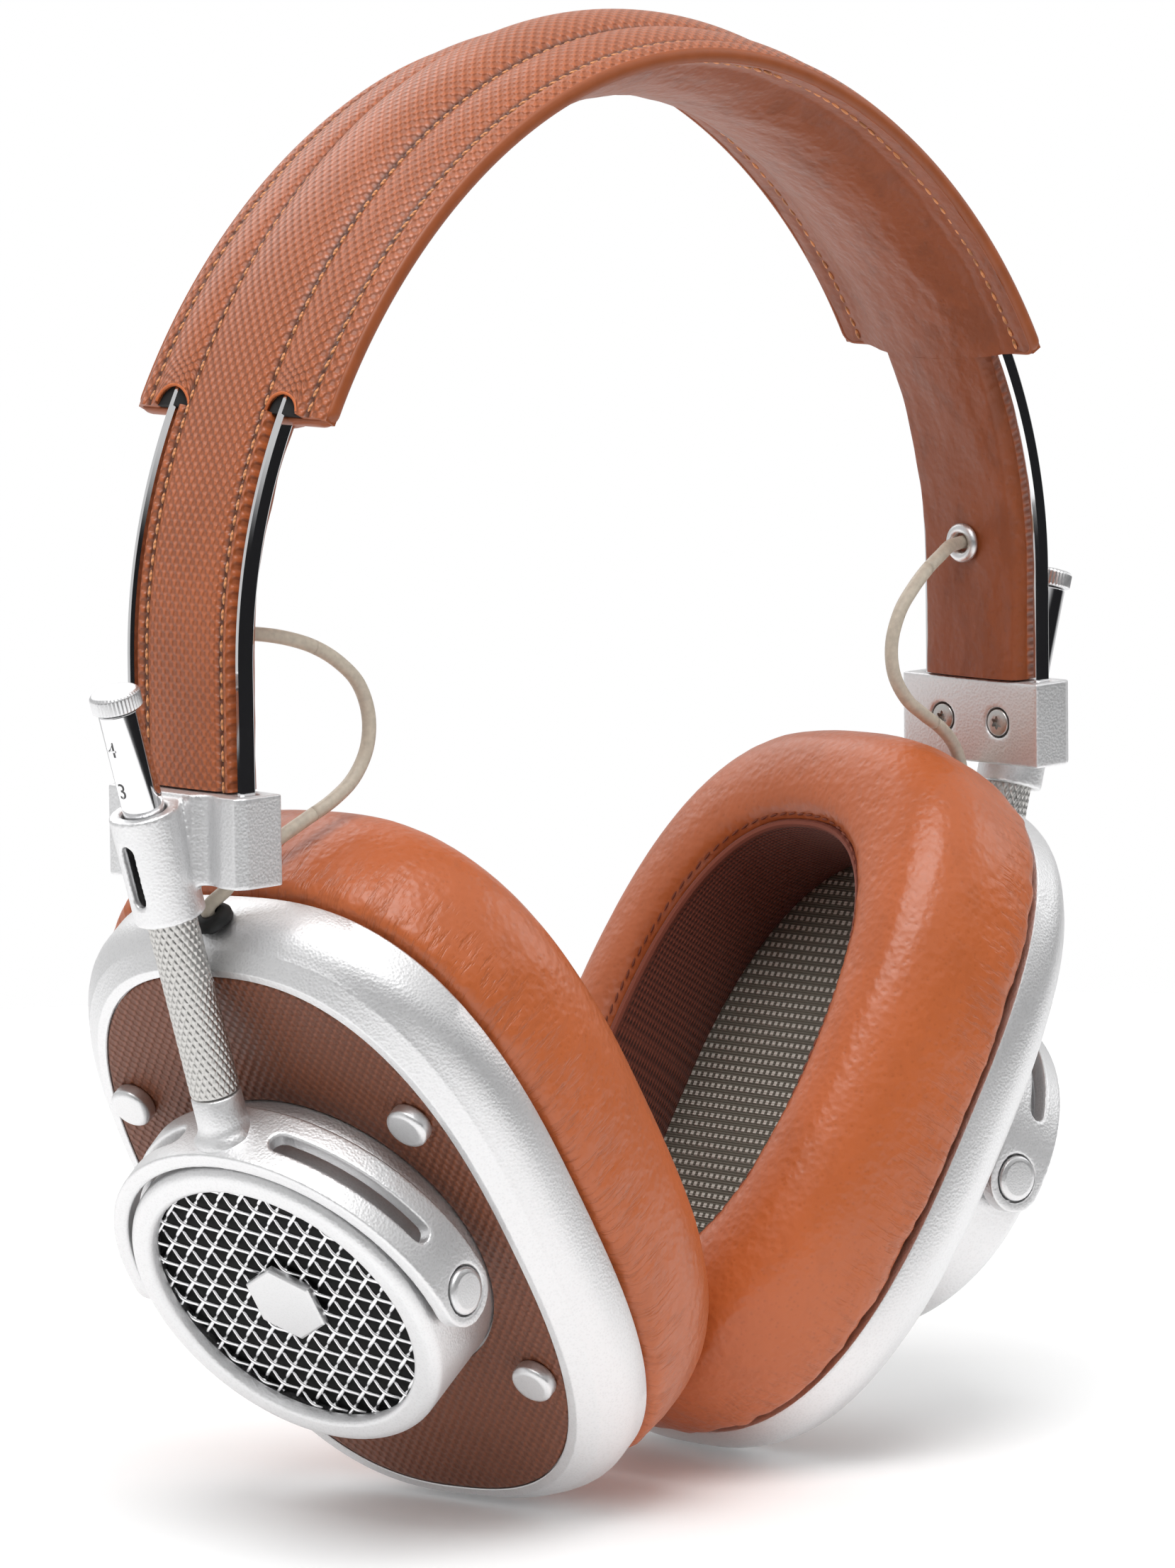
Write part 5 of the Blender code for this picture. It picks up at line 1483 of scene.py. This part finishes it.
def pad_loops(count=96, swell=0.0):
    """Outside of the ear pad from its base on the cup round to the base of its opening."""
    back = -11.3 * MM
    front = back - settings()[1].pad_thickness
    stations = [(0.3, 0.0), (-0.6, -0.5), (-1.0, -2.2), (-1.2, -5.5), (-1.3, -9.0), (-1.2, -12.5), (-0.7, -15.5),
                (0.1, -18.0), (1.4, -20.2), (3.2, -21.8), (5.4, -22.7), (7.8, -23.0)]
    loops = [cup_loop((inset + swell) * MM, back + drop * MM, count) for inset, drop in stations]
    for grow_by, drop in ((3.4, -23.0), (1.6, -22.5), (0.5, -21.4), (0.0, -19.8), (0.2, -17.0), (0.9, -12.0),
                          (2.4, -6.0), (4.6, -1.2)):
        width = (23.0 + grow_by - swell) * MM
        loops.append(oval_loop(width, width + 13.0 * MM, back + drop * MM, count))
    return loops, front


def puff(mesh, pressure, cap):
    """Inflate a cushion's skin with cloth simulation, moving no point further than cap."""
    obj = bpy.data.objects.new("pad_work", mesh)
    bpy.context.scene.collection.objects.link(obj)
    remesh = obj.modifiers.new("even", "REMESH")
    remesh.mode = "VOXEL"
    remesh.voxel_size = 2.6 * MM
    bpy.context.view_layer.update()
    even = bpy.data.meshes.new_from_object(obj.evaluated_get(bpy.context.evaluated_depsgraph_get()))
    obj.modifiers.clear()
    obj.data = even
    start = [vertex.co.copy() for vertex in even.vertices]
    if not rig.quick():
        pinned = obj.vertex_groups.new(name="held")
        pinned.add([v.index for v in even.vertices if v.co.x > -(PIN_HEIGHT + 15.0 * MM)], 1.0, "REPLACE")
        cloth = obj.modifiers.new("cloth", "CLOTH")
        cloth.settings.use_pressure = True
        cloth.settings.uniform_pressure_force = pressure
        cloth.settings.vertex_group_mass = "held"
        cloth.settings.effector_weights.gravity = 0.0
        cloth.settings.tension_stiffness = 12.0
        cloth.settings.bending_stiffness = 0.4
        cloth.point_cache.frame_start = 1
        cloth.point_cache.frame_end = 20
        for number in range(1, 21):
            bpy.context.scene.frame_set(number)
        shaped = bpy.data.meshes.new_from_object(obj.evaluated_get(bpy.context.evaluated_depsgraph_get()))
        obj.modifiers.clear()
        obj.data = shaped
        bpy.context.scene.frame_set(1)
        for vertex, origin in zip(shaped.vertices, start):
            move = vertex.co - origin
            if move.length > cap:
                vertex.co = origin + move * (cap / move.length)
    smooth = obj.modifiers.new("smooth", "SUBSURF")
    smooth.levels = smooth.render_levels = 1
    bpy.context.view_layer.update()
    made = bpy.data.meshes.new_from_object(obj.evaluated_get(bpy.context.evaluated_depsgraph_get()))
    bpy.data.objects.remove(obj, do_unlink=True)
    return made


class HEADPHONES_OT_pads(Operator):
    """Ear pads, their knitted liners and piping, and the cloth over the drivers"""
    bl_idname = "headphones.pads"
    bl_label = "Ear pads"

    def execute(self, context):
        loops, _front = pad_loops()
        base = loft("pad", loops, ring=True)
        skin = puff(base, settings()[1].pad_fill, 1.2 * MM)
        for side, sign in SIDES:
            body, place = f"{side}_cup", cup_frame(sign)
            mesh = skin.copy()
            mesh.transform(place)
            self.press(mesh, sign)
            self.crease(mesh, place)
            self.measure(mesh, place)
            pad = piece(f"{side}_pad_skin", mesh, body, "pad_skin", (f"{side}_ear_pad",), None, None, "lambskin")
            mesh.shade_smooth()
            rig.padded(pad, fill=0.7)
            self.liner(side, body, place)
        return {"FINISHED"}

    @staticmethod
    def press(mesh, sign):
        """Flatten the skin softly where the two pads meet, on either side of the middle plane."""
        for vertex in mesh.vertices:
            reach = sign * vertex.co.x
            soft = 1.6 * MM
            if reach < soft:
                vertex.co.x = sign * max(0.3 * MM, 0.3 * MM + (soft - 0.3 * MM) * math.exp((reach - soft) / soft))

    @staticmethod
    def measure(mesh, place):
        """Write each point's distance round the pad and its depth from the cup as the cloth map."""
        back = place.inverted()
        spots = []
        for vertex in mesh.vertices:
            local = back @ vertex.co
            spots.append((math.atan2(local.y, local.z) * 44.0 * MM, -(local.x + PIN_HEIGHT) - 11.3 * MM))
        layer = mesh.uv_layers.new(name="cloth")
        for corner in mesh.loops:
            layer.data[corner.index].uv = spots[corner.vertex_index]

    @staticmethod
    def crease(mesh, place):
        """Fine gathers in the leather on the pad's side, next to the cup."""
        back = place.inverted()
        mesh.update()
        normals = [vertex.normal.copy() for vertex in mesh.vertices]
        for vertex, normal in zip(mesh.vertices, normals):
            local = back @ vertex.co
            depth = -(local.x + PIN_HEIGHT) - 11.3 * MM
            around = math.atan2(local.y, local.z) * 44.0
            near = math.exp(-((depth - 4.0 * MM) / (6.0 * MM)) ** 2)
            outside = abs(local.y) > 30 * MM or abs(local.z) > 45 * MM
            fold = noise.fractal(Vector((around * 0.42, depth * 75.0, 0.0)), 0.8, 2.0, 3)
            wave = noise.noise(local * 70.0)
            vertex.co += normal * (fold * 0.34 * MM * near * (1.0 if outside else 0.0) + wave * 0.10 * MM)

    @staticmethod
    def liner(side, body, place):
        back = -11.3 * MM
        count = 144
        rings = [(0.15, -19.3), (0.25, -17.0), (0.75, -13.0), (1.6, -8.0), (3.0, -3.0), (4.6, -0.3)]
        loops = [oval_loop((22.75 + g) * MM, (35.75 + g) * MM, back + d * MM, count) for g, d in rings]

        def cloth(row, item):
            return item * 190.0 * MM / count, rings[min(row, len(rings) - 1)][1] * MM

        knit = loft("liner", loops, caps=False, cloth=cloth)
        wall = bpy.data.objects.new("wall", knit)
        bpy.context.scene.collection.objects.link(wall)
        thick = wall.modifiers.new("thick", "SOLIDIFY")
        thick.thickness = 0.5 * MM
        thick.offset = -1.0
        bpy.context.view_layer.update()
        knit = bpy.data.meshes.new_from_object(wall.evaluated_get(bpy.context.evaluated_depsgraph_get()))
        bpy.data.objects.remove(wall, do_unlink=True)
        piece(f"{side}_liner", knit, body, "liner_knit", (), place, 60)
        rope = [Vector(p) for p in oval_loop(22.75 * MM, 35.75 * MM, back - 19.7 * MM, 200)]
        beads = []
        for k, point in enumerate(rope):
            run = (rope[(k + 1) % 200] - rope[k - 1]).normalized()
            beads.append((point, Vector((1.0, 0.0, 0.0)), run.cross(Vector((1.0, 0.0, 0.0)))))
        loops = []
        for point, normal, sideways in beads:
            loops.append([point + (normal * math.sin(a) + sideways * math.cos(a)) * 0.62 * MM
                          for a in [math.tau * i / 8 for i in range(8)]])
        piece(f"{side}_piping", loft("piping", loops, ring=True), body, "liner_knit", (), place, None)
        sewn = oval_loop(23.5 * MM, 36.5 * MM, back - 21.1 * MM, 220)
        seam = stitches([sewn + sewn[:1]], 1.9 * MM, 0.34 * MM)
        piece(f"{side}_pad_stitches", seam, body, "liner_thread", (), place, None)
        plate = [oval_loop(28.0 * MM * f, 41.0 * MM * f, -11.55 * MM, count) for f in (1.0, 0.75, 0.5, 0.25, 0.02)]
        plate.insert(0, oval_loop(28.0 * MM, 41.0 * MM, -11.15 * MM, count))

        def flat(row, item):
            point = plate[min(row, len(plate) - 1)][item % count]
            return point[1], point[2]

        piece(f"{side}_cloth", loft("cloth", plate, cloth=flat), body, "driver_cloth",
              (f"{side}_driver_cloth",), place, 50, "acoustic_cloth")


# ------------------------------------------------------------ cables

# From inside the strap, out of the eyelet, round the free loop and down to the cup's top.
CABLE_ROUTE = [(74.2, 0.0, 147.0), (75.7, 0.0, 142.0), (76.9, 0.0, 137.0), (77.6, 0.0, 131.5),
               (76.6, 0.0, 127.4), (73.4, -0.3, 126.75), (69.8, -1.9, 126.7), (65.8, -3.8, 125.9),
               (61.7, -5.0, 124.4), (57.8, -5.7, 122.0), (54.5, -6.0, 118.8), (52.7, -6.0, 114.4),
               (53.1, -6.0, 109.9), (55.7, -6.0, 106.0), (59.6, -5.8, 103.3), (64.0, -4.9, 101.0),
               (68.2, -3.4, 98.4), (71.8, -1.6, 95.4), (74.3, -0.1, 92.2)]


ROUTE_STEPS = 6         # short lengths between two points of the route
STRAP_EXIT = 24         # where along the line the cable leaves the strap
SLIDER_JOIN = 48        # where the first length meets the second
YOKE_JOIN = 88          # where the second length meets the third
CUP_ENTRY = 114         # where the cable reaches the grommet


def smooth_route(points, steps):
    knots = [points[0] * 2 - points[1]] + points + [points[-1] * 2 - points[-2]]
    result = []
    for a, b, c, d in zip(knots, knots[1:], knots[2:], knots[3:]):
        for i in range(steps):
            t = i / steps
            result.append(0.5 * (2 * b + (c - a) * t + (2 * a - 5 * b + 4 * c - d) * t ** 2
                                 + (3 * b - a - 3 * c + d) * t ** 3))
    return result + [points[-1]]


def tube(points, radius, sides=14):
    """A round tube along points, its section carried without twist."""
    loops = []
    tangent = (points[1] - points[0]).normalized()
    side = tangent.orthogonal().normalized()
    for k, point in enumerate(points):
        run = (points[min(k + 1, len(points) - 1)] - points[max(k - 1, 0)]).normalized()
        side = (side - run * side.dot(run)).normalized()
        other = run.cross(side)
        loops.append([point + (side * math.cos(a) + other * math.sin(a)) * radius
                      for a in [math.tau * i / sides for i in range(sides)]])
    return loft("cable", loops)


class HEADPHONES_OT_cables(Operator):
    """The two short cables from the headband to the cups"""
    bl_idname = "headphones.cables"
    bl_label = "Cables"

    def execute(self, context):
        for side, sign in SIDES:
            cup = cup_frame(sign)
            top = Vector((-GROMMET_BACK, 0.0, CUP_HALF_HEIGHT))
            ends = [cup @ (top + Vector((0.0, 0.0, z * MM))) for z in (2.0, -2.0, -9.0)]
            route = [Vector((sign * x, y, z)) * MM + ORIGIN for x, y, z in CABLE_ROUTE] + ends
            line = smooth_route(route, ROUTE_STEPS)
            slider, yoke = f"{side}_slider", f"{side}_yoke"
            links = (("headband", slider, line[:SLIDER_JOIN + 1], line[STRAP_EXIT]),
                     (slider, yoke, line[SLIDER_JOIN:YOKE_JOIN + 1], line[SLIDER_JOIN]),
                     (yoke, f"{side}_cup", line[YOKE_JOIN:], line[YOKE_JOIN]))
            for k, (one, two, path, start) in enumerate(links):
                length = sum((b - a).length for a, b in zip(path, path[1:]))
                obj = piece(f"{side}_cable_{k + 1}", tube(path, CABLE_DIAMETER / 2), None, "cream_cable",
                            (f"{side}_cable",), None, None, "cream_cable")
                obj.data.shade_smooth()
                end = line[CUP_ENTRY] if k == 2 else path[-1]
                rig.blend(obj, one, two, start=start, end=end)
                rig.cord(obj, exit=path[0], length=length, diameter=CABLE_DIAMETER, far_end="object",
                        stiffness="medium", lay="hanging", path=path)
        return {"FINISHED"}


# ------------------------------------------------------------ stage

class HEADPHONES_OT_stage(Operator):
    """Pale floor, soft lights and the camera"""
    bl_idname = "headphones.stage"
    bl_label = "Stage"

    def execute(self, context):
        scene = context.scene
        scene.view_settings.view_transform = "Standard"
        radius, thickness = 0.44, 0.0008
        outline = [(0.0, 0.0), (radius, 0.0), (radius, -thickness), (0.0, -thickness)]
        plane = piece("floor", lathe("floor", outline, 96), None, "studio_floor", (), None, None)
        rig.stage(plane)
        world = bpy.data.worlds.new("studio")
        world.use_nodes = True
        scene.world = world
        tree = world.node_tree
        sky = tree.nodes["Background"]
        place = tree.nodes.new("ShaderNodeTexCoord")
        split = tree.nodes.new("ShaderNodeSeparateXYZ")
        tree.links.new(place.outputs["Generated"], split.inputs["Vector"])
        level = tree.nodes.new("ShaderNodeMath")
        level.operation = "ABSOLUTE"
        tree.links.new(split.outputs["Z"], level.inputs[0])
        band = tree.nodes.new("ShaderNodeMapRange")
        band.interpolation_type = "SMOOTHSTEP"
        band.inputs["From Min"].default_value = 0.18
        band.inputs["From Max"].default_value = 0.42
        tree.links.new(level.outputs["Value"], band.inputs["Value"])
        ahead = tree.nodes.new("ShaderNodeMapRange")
        ahead.interpolation_type = "SMOOTHSTEP"
        ahead.inputs["From Min"].default_value = -0.35
        ahead.inputs["From Max"].default_value = 0.15
        tree.links.new(split.outputs["Y"], ahead.inputs["Value"])
        share = tree.nodes.new("ShaderNodeMath")
        share.operation = "MAXIMUM"
        tree.links.new(band.outputs["Result"], share.inputs[0])
        tree.links.new(ahead.outputs["Result"], share.inputs[1])
        mix = tree.nodes.new("ShaderNodeMix")
        mix.data_type = "RGBA"
        colours = [socket for socket in mix.inputs if socket.type == "RGBA"]
        colours[0].default_value = (0.025, 0.025, 0.027, 1.0)
        colours[1].default_value = (1.0, 1.0, 1.0, 1.0)
        tree.links.new(share.outputs["Value"], mix.inputs[0])
        tree.links.new([s for s in mix.outputs if s.type == "RGBA"][0], sky.inputs["Color"])
        sky.inputs["Strength"].default_value = 0.66
        backdrop = tree.nodes.new("ShaderNodeBackground")
        backdrop.inputs["Color"].default_value = (1.0, 1.0, 1.0, 1.0)
        seen = tree.nodes.new("ShaderNodeLightPath")
        either = tree.nodes.new("ShaderNodeMixShader")
        tree.links.new(seen.outputs["Is Camera Ray"], either.inputs[0])
        tree.links.new(sky.outputs["Background"], either.inputs[1])
        tree.links.new(backdrop.outputs["Background"], either.inputs[2])
        tree.links.new(either.outputs["Shader"], tree.nodes["World Output"].inputs["Surface"])
        for name, spot, aim, size, power in (
                ("key", (-0.35, -0.30, 1.15), (0.0, 0.0, 0.10), 0.8, 10.0),
                ("side", (1.05, -0.45, 0.60), (0.0, 0.0, 0.08), 0.5, 1.6),
                ("rim", (0.2, 0.9, 0.9), (0.0, 0.0, 0.12), 0.8, 3.0)):
            light = bpy.data.lights.new(name, "AREA")
            light.shape = "SQUARE"
            light.size = size
            light.energy = power
            lamp = bpy.data.objects.new(name, light)
            scene.collection.objects.link(lamp)
            lamp.location = spot
            lamp.rotation_euler = (Vector(aim) - Vector(spot)).to_track_quat("-Z", "Y").to_euler()
        self.camera(scene)
        return {"FINISHED"}

    @staticmethod
    def camera(scene):
        data = bpy.data.cameras.new("camera")
        data.lens = 200.9
        data.sensor_fit = "VERTICAL"
        data.sensor_height = 36.0
        data.clip_start = 0.05
        view = bpy.data.objects.new("camera", data)
        scene.collection.objects.link(view)
        around, above, roll = math.radians(-45.5), math.radians(7.61), math.radians(-0.75)
        back = Vector((math.sin(around) * math.cos(above), -math.cos(around) * math.cos(above),
                       math.sin(above)))
        right = Vector((0.0, 0.0, 1.0)).cross(back).normalized()
        up = back.cross(right)
        across = right * math.cos(roll) + up * math.sin(roll)
        upward = up * math.cos(roll) - right * math.sin(roll)
        spot = Vector((-4.28 * MM, 0.0, 99.3 * MM)) + ORIGIN + back * 1.2296
        turn = Matrix((across, upward, back)).transposed()
        view.matrix_world = Matrix.Translation(spot) @ turn.to_4x4()
        scene.camera = view


class HEADPHONES_PT_panel(Panel):
    """Sizes, colours and the steps that build the headphones"""
    bl_idname = "HEADPHONES_PT_panel"
    bl_label = "Headphones"
    bl_space_type = "VIEW_3D"
    bl_region_type = "UI"
    bl_category = "Headphones"

    def draw(self, context):
        scene = context.scene
        for group in (scene.headphone_band, scene.headphone_cup, scene.headphone_finish):
            column = self.layout.column(align=True)
            for name in group.__annotations__:
                column.prop(group, name)
        for step in STEPS:
            self.layout.operator(step.bl_idname)


STEPS = (HEADPHONES_OT_stage, HEADPHONES_OT_cables, HEADPHONES_OT_band, HEADPHONES_OT_clamps,
         HEADPHONES_OT_rods, HEADPHONES_OT_yokes, HEADPHONES_OT_cups, HEADPHONES_OT_pads)
CLASSES = (BandSettings, CupSettings, FinishSettings, *STEPS, HEADPHONES_PT_panel)


def register():
    for item in CLASSES:
        bpy.utils.register_class(item)
    bpy.types.Scene.headphone_band = PointerProperty(type=BandSettings)
    bpy.types.Scene.headphone_cup = PointerProperty(type=CupSettings)
    bpy.types.Scene.headphone_finish = PointerProperty(type=FinishSettings)


def unregister():
    for name in ("headphone_band", "headphone_cup", "headphone_finish"):
        delattr(bpy.types.Scene, name)
    for item in reversed(CLASSES):
        bpy.utils.unregister_class(item)


def main():
    register()
    for step in (bpy.ops.headphones.stage, bpy.ops.headphones.cables, bpy.ops.headphones.band,
                 bpy.ops.headphones.clamps, bpy.ops.headphones.rods, bpy.ops.headphones.yokes,
                 bpy.ops.headphones.cups, bpy.ops.headphones.pads):
        step()
    boxes = {"cad": [list(corner) for corner in CAD_BOX], "visual": [list(corner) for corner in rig.bounds()]}
    with open("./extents.json", "w") as file:
        json.dump(boxes, file)


if __name__ == "__main__":
    main()
